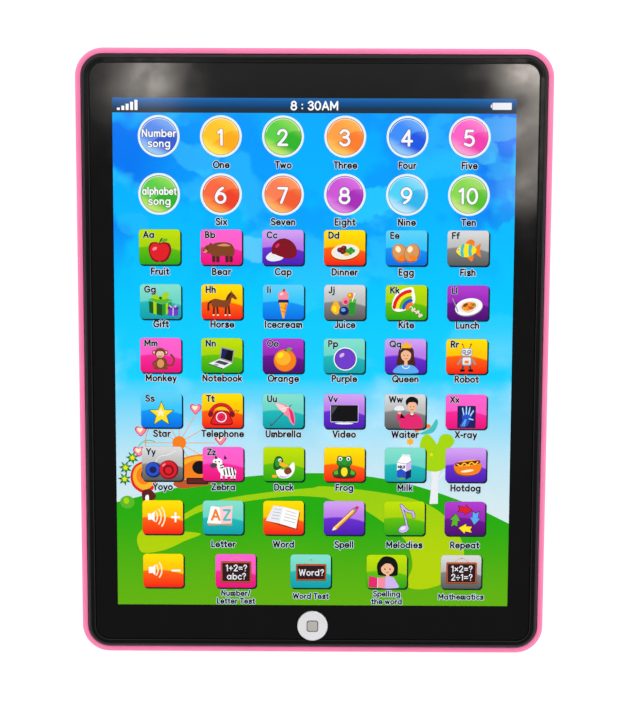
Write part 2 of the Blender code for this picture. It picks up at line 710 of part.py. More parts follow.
def battery_door():
    hinge = (0, HINGE_Y, 0)
    plate_width = BOX_INNER[0] + 2 * DOOR_LEDGE - 2 * GAP
    plate_height = BOX_INNER[1] + 2 * DOOR_LEDGE - 2 * GAP
    bm = bmesh.new()
    prism(bm, rectangle(plate_width, plate_height, (0, BOX_Y)), DOOR_RECESS, DOOR_TOP_Z)
    door = piece("battery_door", bm, pink_plastic(), hinge)

    tongue = bmesh.new()
    low_y = BOX_Y + BOX_INNER[1] / 2 + 0.2 * MM
    half = TONGUE_WIDTH / 2
    box(tongue, (-half, low_y, DOOR_RECESS + 0.05 * MM), (half, TONGUE_END_Y, TONGUE_TOP_Z))
    add(door, "door_tongue", tongue)

    hooks = bmesh.new()
    edge = HINGE_Y + 0.55 * MM
    inside = edge + 2.7 * MM
    foot_z = DOOR_TOP_Z - 0.5 * MM
    profile = [
        (inside, foot_z),
        (inside, HOOK_TOP_Z),
        (edge - HOOK_REACH, HOOK_TOP_Z),
        (edge - HOOK_REACH, HOOK_UNDER_Z),
        (edge, HOOK_UNDER_Z),
        (edge, foot_z),
    ]
    for x in HOOK_XS:
        prism(hooks, profile, x - HOOK_WIDTH / 2, x + HOOK_WIDTH / 2, ALONG_X)
    add(door, "door_hooks", hooks)

    hole = bmesh.new()
    well = circle(SCREW_HEAD_RADIUS + 0.4 * MM, (0, DOOR_SCREW_Y), SMALL_SIDES)
    shaft = circle(SCREW_HOLE_RADIUS, (0, DOOR_SCREW_Y), SMALL_SIDES)
    past_tongue = TONGUE_TOP_Z + PAST
    stack(hole, [(well, -PAST), (well, DOOR_SCREW_WELL_Z), (shaft, DOOR_SCREW_WELL_Z), (shaft, past_tongue)])
    cut(door, "door_screw_hole", hole)


# ---- speaker ----


def speaker_frame():
    """A pressed-steel basket, face down, with an ear on each side for its screws."""
    base = SPEAKER_BASE_Z
    shell = 1.1 * MM
    outer_edge = (SPEAKER_RADIUS - 2.4 * MM, base + shell)
    back_edge = (MAGNET_RADIUS + 1 * MM, SPEAKER_EAR_TOP_Z + 0.5 * MM)
    profile = [
        (CONE_RADIUS + GAP, base),
        (SPEAKER_RADIUS, base),
        (SPEAKER_RADIUS, base + shell),
        outer_edge,
        back_edge,
        (back_edge[0] - 2 * shell, back_edge[1]),
        (back_edge[0] - 2 * shell, back_edge[1] - 0.8 * shell),
        (outer_edge[0] - 1.5 * shell, base + shell),
        (CONE_RADIUS + GAP, base + 0.8 * shell),
    ]
    bm = bmesh.new()
    ring_solid(bm, profile, (*SPEAKER_XY, 0))
    frame = piece("speaker_frame", bm, steel(), smooth=True)
    ears = bmesh.new()
    ear_from, ear_to = 11 * MM, 25.5 * MM
    for side in (-1, 1):
        middle = (SPEAKER_XY[0] + side * (ear_from + ear_to) / 2, SPEAKER_XY[1])
        outline = rounded_rectangle(ear_to - ear_from, 8 * MM, 2 * MM, middle, 3)
        prism(ears, outline, SPEAKER_EAR_TOP_Z - 1 * MM, SPEAKER_EAR_TOP_Z)
    add(frame, "speaker_ears", ears)
    holes = bmesh.new()
    for place in speaker_screw_places():
        low, high = SPEAKER_EAR_TOP_Z - 2 * MM, SPEAKER_EAR_TOP_Z + PAST
        prism(holes, circle(SCREW_HOLE_RADIUS, place, SMALL_SIDES), low, high)
    cut(frame, "speaker_ear_holes", holes)


def speaker_cone():
    low, high = SPEAKER_BASE_Z + 0.2 * MM, SPEAKER_BASE_Z + 3.4 * MM
    dome_radius = 4.5 * MM
    profile = [
        (0, low + 2.1 * MM),
        (dome_radius, low + 1.4 * MM),
        (CONE_RADIUS, low),
        (CONE_RADIUS, low + 0.4 * MM),
        (dome_radius, high),
        (0, high),
    ]
    bm = bmesh.new()
    turned(bm, profile, (*SPEAKER_XY, 0))
    look = material("black_paper", (0.02, 0.02, 0.022), 0.8)
    piece("speaker_cone", bm, look, (*SPEAKER_XY, low), smooth=True)


def speaker_magnet():
    low, high = SPEAKER_EAR_TOP_Z + 0.5 * MM + GAP, SPEAKER_EAR_TOP_Z + 6.5 * MM
    chamfer = 0.6 * MM
    profile = [
        (0, low),
        (MAGNET_RADIUS, low),
        (MAGNET_RADIUS, high - chamfer),
        (MAGNET_RADIUS - chamfer, high),
        (0, high),
    ]
    bm = bmesh.new()
    turned(bm, profile, (*SPEAKER_XY, 0))
    piece("speaker_magnet", bm, steel(), smooth=True)


def ring_solid(bm, profile, centre, sides=ROUND_SIDES):
    """A ring turned about Z from a closed (radius, z) outline."""
    rings = [
        [bm.verts.new(Vector(centre) + Vector((x, y, z))) for x, y in circle(radius, sides=sides)]
        for radius, z in profile
    ]
    for first, second in zip(rings, rings[1:] + rings[:1]):
        for i in range(sides):
            j = (i + 1) % sides
            bm.faces.new((first[i], first[j], second[j], second[i]))
    bmesh.ops.recalc_face_normals(bm, faces=bm.faces)


# ---- power switch ----


def power_switch():
    depth, length, height = SWITCH_BODY
    bm = bmesh.new()
    box(
        bm,
        (SWITCH_BODY_X - depth / 2, SWITCH_Y - length / 2, SWITCH_Z - height / 2),
        (SWITCH_BODY_X + depth / 2, SWITCH_Y + length / 2, SWITCH_Z + height / 2),
    )
    body = piece("power_switch_body", bm, steel())
    slot = bmesh.new()
    slot_y = SWITCH_TRAVEL / 2 + KNOB_STEM_HALF[0] + GAP
    slot_z = KNOB_STEM_HALF[1] + GAP
    face_x = SWITCH_BODY_X + depth / 2
    slot_x = face_x - 3.4 * MM
    box(
        slot,
        (slot_x, SWITCH_Y - slot_y, SWITCH_Z - slot_z),
        (face_x + PAST, SWITCH_Y + slot_y, SWITCH_Z + slot_z),
    )
    cut(body, "switch_slot", slot)

    rest_y = SWITCH_Y - SWITCH_TRAVEL / 2
    cap_x = WIDTH / 2 - WALL + 0.1 * MM
    knob = bmesh.new()
    box(
        knob,
        (cap_x, rest_y - KNOB_HALF[0], SWITCH_Z - KNOB_HALF[1]),
        (WIDTH / 2 - 0.4 * MM, rest_y + KNOB_HALF[0], SWITCH_Z + KNOB_HALF[1]),
    )
    slider = piece("power_switch_knob", knob, black_plastic(), (cap_x, rest_y, SWITCH_Z))
    stem = bmesh.new()
    stem_y, stem_z = KNOB_STEM_HALF
    box(
        stem,
        (slot_x + 0.5 * MM, rest_y - stem_y, SWITCH_Z - stem_z),
        (cap_x + 0.6 * MM, rest_y + stem_y, SWITCH_Z + stem_z),
    )
    add(slider, "knob_stem", stem)


# ---- fasteners ----


def screw(name, place, head_z, tip_z, origin=(0.0, 0.0, 0.0)):
    """A cross-head screw driven from below: the head's outer face is at head_z, the tip at tip_z."""
    x, y = place
    under_head_z = head_z + SCREW_HEAD_HEIGHT
    bm = bmesh.new()
    profile = [
        (0, head_z),
        (SCREW_HEAD_RADIUS - 0.5 * MM, head_z),
        (SCREW_HEAD_RADIUS, head_z + 0.6 * MM),
        (SCREW_HEAD_RADIUS, under_head_z),
        (SCREW_SHANK_RADIUS, under_head_z),
        (SCREW_SHANK_RADIUS, tip_z - 1 * MM),
        (0, tip_z),
    ]
    turned(bm, profile, (x, y, 0), SMALL_SIDES)
    made = piece(name, bm, steel(), origin, smooth=True)
    cross = bmesh.new()
    long, short = 1.7 * MM, 0.35 * MM
    arms = [(long, short), (short, short), (short, long)]
    quarter = arms + [(-b, a) for a, b in arms]
    outline = quarter + [(-a, -b) for a, b in quarter]
    prism(cross, [(x + a, y + b) for a, b in outline], head_z - 1 * MM, head_z + 0.8 * MM)
    cut(made, name + "_cross", cross)


def screws():
    for index, place in enumerate(CASE_SCREWS):
        screw(f"case_screw_{index + 1}", place, WELL_TOP_Z - GAP - SCREW_HEAD_HEIGHT, 16.5 * MM)
    for index, place in enumerate(BOARD_POSTS):
        screw(f"board_screw_{index + 1}", place, BOARD_Z - GAP - SCREW_HEAD_HEIGHT, 16 * MM)
    head_z = DOOR_SCREW_WELL_Z - GAP - SCREW_HEAD_HEIGHT
    screw("door_screw", (0, DOOR_SCREW_Y), head_z, 6.2 * MM, origin=(0, HINGE_Y, 0))


def speaker_screws():
    under_head_z = SPEAKER_EAR_TOP_Z + GAP
    head_z = under_head_z + SCREW_HEAD_HEIGHT
    shank_radius, tip_z = 1 * MM, 3.2 * MM
    for index, place in enumerate(speaker_screw_places()):
        bm = bmesh.new()
        profile = [
            (0, tip_z),
            (shank_radius, tip_z),
            (shank_radius, under_head_z),
            (SCREW_HEAD_RADIUS, under_head_z),
            (SCREW_HEAD_RADIUS - 0.5 * MM, head_z),
            (0, head_z),
        ]
        turned(bm, profile, (*place, 0), SMALL_SIDES)
        piece(f"speaker_screw_{index + 1}", bm, steel(), smooth=True)


# ---- wires ----


def wire(name, color, points):
    """A thin insulated wire on a smooth path through its own points, given in millimetres."""
    path = smooth_path([Vector(p) * MM for p in points], 3)
    curve = bpy.data.curves.new(name, "CURVE")
    curve.dimensions = "3D"
    curve.bevel_depth = WIRE_RADIUS
    curve.bevel_resolution = 1
    curve.use_fill_caps = True
    spline = curve.splines.new("POLY")
    spline.points.add(len(path) - 1)
    for point, place in zip(spline.points, path):
        point.co = (*place, 1)
    curve.materials.append(material("wire_" + color[0], color[1], 0.45))
    made = bpy.data.objects.new(name, curve)
    bpy.context.scene.collection.objects.link(made)


def smooth_path(points, steps):
    """Points on a Catmull-Rom curve through the given ones."""
    ends = [points[0] * 2 - points[1], *points, points[-1] * 2 - points[-2]]
    path = []
    for before, start, stop, after in zip(ends, ends[1:], ends[2:], ends[3:]):
        for step in range(steps):
            t = step / steps
            path.append(
                0.5
                * (
                    2 * start
                    + (stop - before) * t
                    + (2 * before - 5 * start + 4 * stop - after) * t**2
                    + (3 * start - before - 3 * stop + after) * t**3
                )
            )
    return path + [points[-1]]


def wires():
    red = ("red", (0.6, 0.02, 0.02))
    black = ("black", (0.02, 0.02, 0.02))
    yellow = ("yellow", (0.8, 0.55, 0.05))
    low, _, high = [y / MM for y in cell_ys()]
    to_switch = [
        (37.6, low, 15),
        (44, low + 1, 14.5),
        (52, 22, 12),
        (62, 45, 10),
        (72, 62, 9.5),
        (78, 68, 10),
        (82.6, 69, 10),
    ]
    switch_to_board = [
        (82.6, 75, 10),
        (78, 75.5, 10),
        (74, 66, 8),
        (67, 35, 6),
        (62, -10, 6),
        (55, -50, 7),
        (46, -78, 8.5),
        (41, -92, 10),
        (39.6, -93, 11),
    ]
    battery_to_board = [
        (-37.6, high, 15),
        (-44, high - 2, 14.5),
        (-52, 25, 11),
        (-56, -5, 8),
        (-54, -45, 7),
        (-47, -78, 8.5),
        (-42, -92, 10),
        (-39.6, -93, 11),
    ]
    wire("wire_battery_to_switch", red, to_switch)
    wire("wire_switch_to_board", red, switch_to_board)
    wire("wire_battery_to_board", black, battery_to_board)
    for name, x in (("speaker_wire_a", -7.5), ("speaker_wire_b", 7.5)):
        route = [(x, -63.8, 4.5), (x * 1.15, -67, 5), (x * 1.2, -72, 6.5), (x, -77, 9), (x * 0.9, -80.3, 11)]
        wire(name, yellow, route)


def main():
    clear_scene()
    rear_casing()
    front_housing()
    face_film()
    membranes()
    home_button()
    home_switch()
    main_board()
    cells()
    contacts()
    contact_springs()
    battery_door()
    speaker_frame()
    speaker_cone()
    speaker_magnet()
    power_switch()
    screws()
    speaker_screws()
    wires()


main()
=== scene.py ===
"""Looks of the toy tablet: fine shells, the printed key sheet, materials, light and camera.

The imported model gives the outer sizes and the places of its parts, and named values give the rest. Artwork is
drawn in millimetres on the face, as a stack of thin closed layers, each a little higher than the one before.
"""

import re
from functools import cache
from math import atan2, cos, pi, radians, sin

import bmesh
import bpy
from mathutils import Matrix, Vector


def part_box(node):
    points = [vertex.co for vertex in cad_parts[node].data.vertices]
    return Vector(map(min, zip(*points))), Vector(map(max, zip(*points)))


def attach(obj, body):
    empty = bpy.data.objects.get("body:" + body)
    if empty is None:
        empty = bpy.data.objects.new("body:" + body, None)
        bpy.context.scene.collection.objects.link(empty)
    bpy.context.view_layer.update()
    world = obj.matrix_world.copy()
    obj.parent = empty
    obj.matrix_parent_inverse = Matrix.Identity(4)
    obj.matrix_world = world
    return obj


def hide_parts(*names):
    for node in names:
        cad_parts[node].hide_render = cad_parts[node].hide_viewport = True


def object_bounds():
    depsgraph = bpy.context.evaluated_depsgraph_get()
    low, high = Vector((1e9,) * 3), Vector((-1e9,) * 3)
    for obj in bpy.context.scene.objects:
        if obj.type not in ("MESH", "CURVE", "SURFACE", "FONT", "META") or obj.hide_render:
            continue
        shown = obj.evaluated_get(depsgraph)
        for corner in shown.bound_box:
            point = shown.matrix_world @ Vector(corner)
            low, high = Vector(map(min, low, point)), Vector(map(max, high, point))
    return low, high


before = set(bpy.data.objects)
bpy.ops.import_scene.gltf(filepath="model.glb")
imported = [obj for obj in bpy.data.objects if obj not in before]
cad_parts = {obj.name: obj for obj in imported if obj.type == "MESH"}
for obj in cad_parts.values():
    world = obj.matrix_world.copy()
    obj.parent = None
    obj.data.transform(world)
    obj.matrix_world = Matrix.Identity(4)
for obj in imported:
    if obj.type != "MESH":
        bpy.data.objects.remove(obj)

CAD_LOW, CAD_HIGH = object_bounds()
MM = 0.001


def middle(name):
    """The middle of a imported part's box."""
    return [(low + high) / 2 for low, high in zip(*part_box(name))]


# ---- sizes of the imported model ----

WIDTH = CAD_HIGH.x - CAD_LOW.x
HEIGHT = CAD_HIGH.y - CAD_LOW.y
THICKNESS = CAD_HIGH.z - CAD_LOW.z
CORNER_RADIUS = 11 * MM
REAR_LIP_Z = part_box("rear_casing")[1].z
FRONT_INSET = CAD_HIGH.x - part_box("front_housing")[1].x
FILM_INSET = CAD_HIGH.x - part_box("face_film")[1].x
FILM_LOW, FILM_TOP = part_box("face_film")[0].z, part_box("face_film")[1].z
GAP = 0.3 * MM
BUTTON_LOW, BUTTON_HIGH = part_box("home_button")
BUTTON_XY = tuple(middle("home_button")[:2])
FLANGE_RADIUS = (BUTTON_HIGH.x - BUTTON_LOW.x) / 2
BUTTON_RADIUS = FLANGE_RADIUS - 0.7 * MM
SCREW_SHAFT = 1.5 * MM
SCREWS = [tuple(middle(f"case_screw_{number}")[:2]) for number in range(1, 7)]
DOOR_SCREW_XY = (0.0, middle("door_screw")[1])
BAY_MIDDLE = (0.0, (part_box("battery_1")[0].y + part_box("battery_3")[1].y) / 2)

# ---- the printed sheet, in millimetres from the middle of the face ----

LAYER = 0.008 * MM
ART_HALF_WIDTH = 78.0
ART_LOW, ART_HIGH = -100.2, 100.9
STATUS_LOW = 95.2
COLUMN_PITCH = 24.05
DISC_ROWS = (86.2, 63.9)
DISC_LABEL_ROWS = (75.3, 53.3)
DISC_RADIUS = 8.1
BALL_RADIUS = 7.5
FIGURE_SPOT = (-0.45, -0.4)
FIGURE_HEIGHT = 6.8
TILE_ROWS = (43.3, 21.9, 0.7, -21.3, -42.7, -64.4, -86.2)
TILE_LABEL_DROPS = (9.5, 8.8, 9.0, 9.2, 9.3, 10.8)
TILE_ROW_SHIFT = (0.0, 0.2, 0.1, 0.2, 0.4, 0.35)
TILE_WIDTH, TILE_HEIGHT, TILE_CORNER = 16.1, 13.7, 1.4
TILE_LETTER_HEIGHT = 2.75
TILE_LETTER_MARGINS = (1.7, 2.0)
SHADE_OFFSET = (0.45, -0.48)
SHADE_GROW = 0.25
BOTTOM_COLUMNS = (-59.7, -30.8, -0.8, 29.6, 59.3)
BOTTOM_LABEL_HEIGHT = 2.5
LABEL_HEIGHT = 2.9
LABEL_WIDTH = 19.0
LABEL_LINE_DROP = 3.2

SCENERY_LEVEL = 2
SHADE_LEVEL = 14
TILE_LEVEL = 15
PRINT_LEVEL = 16


def linear(red, green, blue):
    """A colour given as 0 to 255 display values, as Blender's linear RGBA."""
    values = []
    for share in (red / 255, green / 255, blue / 255):
        values.append(share / 12.92 if share <= 0.04045 else ((share + 0.055) / 1.055) ** 2.4)
    return (*values, 1.0)


# ---- meshes ----

CORNER_STEPS = 18
SHARP_ANGLE = radians(32)
LARGE_FACE = 60 * MM * MM


def rounded_rectangle(width, height, radius, centre=(0.0, 0.0), steps=CORNER_STEPS):
    points = []
    for side_x, side_y, start in ((1, 1, 0), (-1, 1, 90), (-1, -1, 180), (1, -1, 270)):
        x = centre[0] + side_x * (width / 2 - radius)
        y = centre[1] + side_y * (height / 2 - radius)
        turns = [radians(start + 90 * step / steps) for step in range(steps + 1)]
        points += [(x + radius * cos(turn), y + radius * sin(turn)) for turn in turns]
    return points


def rectangle(width, height, centre=(0.0, 0.0)):
    x, y = centre
    return [(x + a * width / 2, y + b * height / 2) for a, b in ((1, 1), (-1, 1), (-1, -1), (1, -1))]


def circle(radius, centre=(0.0, 0.0), sides=32):
    turns = [2 * pi * step / sides for step in range(sides)]
    return [(centre[0] + radius * cos(turn), centre[1] + radius * sin(turn)) for turn in turns]


def outline_inset(inset):
    """The tablet's outline, that far inside its edge."""
    radius = max(CORNER_RADIUS - inset, 0.5 * MM)
    return rounded_rectangle(WIDTH - 2 * inset, HEIGHT - 2 * inset, radius)


def quarter_turn(steps, first=0):
    """Pairs for a rounded edge, the first falling from 1 to 0 while the second rises from 0 to 1."""
    turns = [radians(90 * step / steps) for step in range(first, steps + 1)]
    return [(1 - sin(turn), 1 - cos(turn)) for turn in turns]


def straight(outline, low, high):
    """The two levels of a solid with straight sides."""
    return [(outline, low), (outline, high)]


def block(low, high):
    """The two levels of a box between two corners."""
    centre = ((low[0] + high[0]) / 2, (low[1] + high[1]) / 2)
    return straight(rectangle(high[0] - low[0], high[1] - low[1], centre), low[2], high[2])


def stack(bm, levels):
    """Joins outlines of equal length, given as (outline, z), into one closed solid with flat ends."""
    rings = [[bm.verts.new((x, y, z)) for x, y in outline] for outline, z in levels]
    return [bm.faces.new(rings[0][::-1]), bm.faces.new(rings[-1]), *bands(bm, rings[:-1], rings[1:])]


def bands(bm, lower_rings, upper_rings):
    """Faces all round between each lower ring of corners and its upper one."""
    faces = []
    for lower, upper in zip(lower_rings, upper_rings):
        for i in range(len(lower)):
            j = (i + 1) % len(lower)
            faces.append(bm.faces.new((lower[i], lower[j], upper[j], upper[i])))
    return faces


def turned(profile, centre, sides):
    """A solid turned about Z from (radius, z) points that start and end on the axis."""
    bm = bmesh.new()
    bottom, top = [bm.verts.new((*centre, profile[end][1])) for end in (0, -1)]
    rings = [[bm.verts.new((x, y, z)) for x, y in circle(r, centre, sides)] for r, z in profile[1:-1]]
    for i in range(sides):
        j = (i + 1) % sides
        bm.faces.new((bottom, rings[0][j], rings[0][i]))
        bm.faces.new((top, rings[-1][i], rings[-1][j]))
    bands(bm, rings[:-1], rings[1:])
    return bm


def mesh_object(name, bm, materials, origin=(0.0, 0.0, 0.0), smooth=True):
    bmesh.ops.recalc_face_normals(bm, faces=bm.faces)
    bmesh.ops.translate(bm, verts=bm.verts, vec=-Vector(origin))
    mesh = bpy.data.meshes.new(name)
    bm.to_mesh(mesh)
    bm.free()
    for look in materials:
        mesh.materials.append(look)
    if smooth:
        mesh.shade_smooth()
        mesh.set_sharp_from_angle(angle=SHARP_ANGLE)
    made = bpy.data.objects.new(name, mesh)
    made.location = origin
    bpy.context.scene.collection.objects.link(made)
    return made


def solid(name, look, levels):
    bm = bmesh.new()
    stack(bm, levels)
    return mesh_object(name, bm, [look])


def carve(target, *solids, join=False):
    """Cuts solids, given by their levels, from the target, or joins them on."""
    bm = bmesh.new()
    for levels in solids:
        stack(bm, levels)
    cutter = mesh_object("cutter", bm, [], smooth=False)
    modifier = target.modifiers.new("carve", "BOOLEAN")
    modifier.object = cutter
    modifier.operation = "UNION" if join else "DIFFERENCE"
    modifier.solver = "EXACT"
    graph = bpy.context.evaluated_depsgraph_get()
    result = bpy.data.meshes.new_from_object(target.evaluated_get(graph))
    target.modifiers.clear()
    target.data = result
    bpy.data.objects.remove(cutter)


def shell_finish(made, body, node):
    """Crisp shading for a moulded shell, flat on large square faces, and its place in the table of pieces."""
    made.data.shade_smooth()
    made.data.set_sharp_from_angle(angle=SHARP_ANGLE)
    for face in made.data.polygons:
        if face.area > LARGE_FACE and max(map(abs, face.normal)) > 0.9999:
            face.use_smooth = False
    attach(made, body)
    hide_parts(node)


# ---- materials ----


class Nodes:
    """Helpers that add pattern nodes to a tree."""

    def __init__(self, tree, coordinates):
        self.nodes, self.links = tree.nodes, tree.links
        self.place = self.nodes.new("ShaderNodeTexCoord").outputs[coordinates]

    def plug(self, socket, value):
        """Links an output to the socket, or sets a plain value on it."""
        if isinstance(value, bpy.types.NodeSocket):
            self.links.new(value, socket)
        else:
            socket.default_value = value

    def node(self, kind, inputs, **settings):
        made = self.nodes.new(kind)
        for key, value in settings.items():
            setattr(made, key, value)
        for key, value in inputs.items():
            self.plug(made.inputs[key], value)
        return made

    def axis(self, letter):
        return self.node("ShaderNodeSeparateXYZ", {"Vector": self.place}).outputs[letter]

    def math(self, operation, *values):
        return self.node("ShaderNodeMath", dict(enumerate(values)), operation=operation).outputs[0]

    def times(self, first, second):
        return self.math("MULTIPLY", first, second)

    def between(self, value, low, high, soft=True):
        """0 below low, 1 above high, with an eased or a straight slope in between."""
        kind = "SMOOTHSTEP" if soft else "LINEAR"
        inputs = {"Value": value, "From Min": low, "From Max": high}
        return self.node("ShaderNodeMapRange", inputs, interpolation_type=kind).outputs["Result"]

    def noise(self, scale, detail=2.0, stretch=(1.0, 1.0, 1.0)):
        mapped = self.node("ShaderNodeMapping", {"Vector": self.place, "Scale": stretch})
        inputs = {"Vector": mapped.outputs["Vector"], "Scale": scale, "Detail": detail}
        return self.node("ShaderNodeTexNoise", inputs).outputs["Fac"]

    def mix(self, share, first, second):
        """The first colour where the share is 0, the second where it is 1."""
        mixer = self.node("ShaderNodeMix", {"Factor": share}, data_type="RGBA")
        sockets = [one for one in mixer.inputs if one.type == "RGBA"]
        for socket, value in zip(sockets, (first, second)):
            self.plug(socket, value)
        return [one for one in mixer.outputs if one.type == "RGBA"][0]

    def ramp(self, value, stops):
        """A colour for each height of the value, from (height, colour) stops."""
        made = self.node("ShaderNodeValToRGB", {"Fac": value})
        points = made.color_ramp.elements
        while len(points) < len(stops):
            points.new(1.0)
        for point, (where, color) in zip(points, stops):
            point.position = where
            point.color = color
        return made.outputs["Color"]


class Finish(Nodes):
    """A Principled material, patterned over the object's own coordinates."""

    def __init__(self, name, roughness, metallic=0.0, coat=0.0, specular=0.5):
        self.material = bpy.data.materials.new(name)
        self.material.use_nodes = True
        super().__init__(self.material.node_tree, "Object")
        self.shader = self.nodes["Principled BSDF"]
        self.set("Roughness", roughness)
        self.set("Metallic", metallic)
        self.set("Coat Weight", coat)
        self.set("Coat Roughness", 0.06)
        self.set("Specular IOR Level", specular)

    def set(self, socket, value):
        self.plug(self.shader.inputs[socket], value)

    def bump(self, height, strength, distance):
        inputs = {"Height": height, "Strength": strength, "Distance": distance}
        self.set("Normal", self.node("ShaderNodeBump", inputs).outputs["Normal"])

    def speckle(self, base, amount, scale):
        """The base colour, a little darker in patches."""
        dark = (*[channel * (1 - amount) for channel in base[:3]], 1.0)
        patches = self.between(self.noise(scale, 3.0), 0.35, 0.7)
        self.set("Base Color", self.mix(patches, base, dark))

    def printed(self, color):
        """The colour under the faint texture of a film of ink."""
        self.set("Base Color", color)
        self.bump(self.noise(1800.0), 0.12, 0.01 * MM)
        return self.material


def moulded(name, color, roughness, grain=2600.0, depth=0.02, coat=0.0, specular=0.5):
    """Moulded plastic: faint flow patches, a fine grain and a slightly uneven polish."""
    look = Finish(name, roughness, coat=coat, specular=specular)
    look.speckle(linear(*color), 0.05, 45.0)
    polish = look.between(look.noise(130.0, 4.0), 0.3, 0.75)
    look.set("Roughness", look.math("MULTIPLY_ADD", polish, 0.06, roughness))
    look.bump(look.noise(grain), 0.25, depth * MM)
    return look.material


def metal(name, color, roughness):
    """Brushed metal, with a gloss that varies along its scratches."""
    look = Finish(name, roughness, metallic=1.0)
    look.speckle(linear(*color), 0.18, 300.0)
    brushed = look.noise(2500.0)
    look.set("Roughness", look.between(brushed, -1.2, 2.0 / max(roughness, 0.1), soft=False))
    look.bump(brushed, 0.2, 0.01 * MM)
    return look.material


INK_COLOURS = {
    "black": (16, 15, 18),
    "white": (250, 250, 250),
    "pale_edge": (212, 230, 242),
    "soft_white": (232, 234, 240),
    "figure_white": (244, 244, 248),
    "ring_white": (226, 240, 248),
    "grey": (150, 152, 156),
    "dark_grey": (70, 72, 78),
    "shade": (16, 38, 40),
    "red": (222, 30, 38),
    "dark_red": (130, 16, 34),
    "rose": (226, 40, 110),
    "pink": (246, 138, 160),
    "pale_pink": (252, 205, 205),
    "orange": (244, 128, 26),
    "amber": (250, 178, 40),
    "yellow": (252, 226, 30),
    "cream": (252, 236, 196),
    "tan": (214, 150, 92),
    "skin": (240, 184, 146),
    "brown": (128, 66, 34),
    "dark_brown": (74, 36, 22),
    "maroon": (92, 34, 30),
    "lime": (164, 212, 10),
    "green": (40, 150, 44),
    "dark_green": (22, 88, 34),
    "leaf": (90, 180, 40),
    "teal": (70, 190, 190),
    "sky": (90, 170, 240),
    "blue": (40, 80, 200),
    "navy": (24, 34, 96),
    "violet": (110, 60, 200),
    "purple": (92, 40, 150),
    "lilac": (206, 180, 236),
    "brick": (190, 84, 44),
    "slate": (46, 24, 26),
    "path": (172, 210, 8),
    "wheel": (246, 150, 70),
}


def print_finish(name):
    return Finish(name, 0.38, coat=0.6, specular=0.1)


@cache
def ink(name):
    """Gloss print in one of the named colours."""
    return print_finish("ink_" + name).printed(linear(*INK_COLOURS[name]))


def edge_ink(name):
    """The darker line round the figure on a disc of that colour."""
    INK_COLOURS["edge_" + name] = tuple(0.62 * channel for channel in DISC_COLOURS[name][1])
    return ink("edge_" + name)


SKY_LOW, SKY_HIGH = -62, 96  # where the sky's colours start and end, in millimetres

# Colours of the sky from the horizon up to the status line, each with its share of the height.
SKY_STOPS = (
    (0.0, (212, 230, 236)), (0.14, (186, 226, 240)), (0.34, (20, 206, 252)),
    (0.55, (0, 196, 255)), (0.8, (0, 176, 255)), (1.0, (0, 166, 255)),
)
STATUS_STOPS = ((0.0, (36, 42, 48)), (0.3, (16, 52, 82)), (0.75, (10, 84, 150)), (1.0, (30, 104, 170)))

# Middle, half width, half height, strength and colour of the clouds behind the discs and the first keys.
CLOUDS = (
    (74.0, 64.0, 9.0, 14.0, 0.6, (0, 124, 236)),
    (23.0, 61.0, 12.0, 7.0, 0.7, (40, 206, 250)),
    (74.0, 90.0, 11.0, 5.0, 0.4, (90, 200, 244)),
    (65.0, 80.0, 7.0, 4.5, 0.5, (80, 196, 246)),
    (-48.0, 78.0, 9.0, 6.5, 0.45, (60, 196, 250)),
    (-70.0, 53.0, 9.0, 4.5, 0.4, (40, 186, 252)),
    (-24.0, 42.5, 7.0, 4.5, 0.5, (120, 214, 250)),
)


def linear_stops(stops):
    return [(where, linear(*color)) for where, color in stops]


def sky_print():
    """Deep blue at the top to a pale horizon, with loose bright clouds."""
    look = Finish("sky_print", 0.4, coat=0.6, specular=0.08)
    height = look.between(look.axis("Y"), SKY_LOW * MM, SKY_HIGH * MM, soft=False)
    base = look.ramp(height, linear_stops(SKY_STOPS))
    side = look.math("ABSOLUTE", look.axis("X"))
    corner = look.times(look.between(side, 40 * MM, 84 * MM), look.between(height, 0.55, 0.9))
    spread = look.math("ADD", corner, look.times(look.between(height, 0.5, 0.75), 0.5))
    azure = look.times(spread, look.between(look.noise(34.0, 3.0), 0.44, 0.56))
    sky = look.mix(look.times(azure, 0.8), base, linear(0, 118, 240))
    wisps = look.noise(30.0, 4.0, (1.0, 1.3, 1.0))
    ragged = look.times(look.math("SUBTRACT", look.noise(60.0, 4.0), 0.5), 5.5)
    for x, y, wide, tall, strength, color in CLOUDS:
        squares = []
        for letter, centre, reach in (("X", x, wide), ("Y", y, tall)):
            offset = look.math("DIVIDE", look.math("SUBTRACT", look.axis(letter), centre * MM), reach * MM)
            squares.append(offset)
        distance = look.math("ADD", *[look.math("POWER", offset, 2.0) for offset in squares])
        share = look.between(look.math("ADD", distance, ragged), 1.1, 0.7)
        sky = look.mix(look.times(share, strength), sky, linear(*color))
    upper = look.times(look.between(wisps, 0.56, 0.62), 0.3)
    cloudy = look.mix(upper, sky, linear(60, 212, 255))
    band = look.times(look.between(height, 0.5, 0.2), look.between(wisps, 0.5, 0.7))
    return look.printed(look.mix(look.times(band, 0.45), cloudy, linear(232, 244, 248)))


def meadow_print(name, low_color, high_color, low_y, high_y):
    """Grass that passes from one green to another on its way up, in loose waves."""
    look = print_finish(name)
    rise = look.between(look.axis("Y"), low_y * MM, high_y * MM, soft=False)
    wave = look.math("ADD", rise, look.times(look.noise(18.0, 1.0), 0.35))
    return look.printed(look.mix(look.between(wave, 0.15, 1.2), linear(*low_color), linear(*high_color)))


def status_print():
    look = print_finish("status_print")
    rise = look.between(look.axis("Y"), -2.8 * MM, 2.8 * MM, soft=False)
    return look.printed(look.ramp(rise, linear_stops(STATUS_STOPS)))


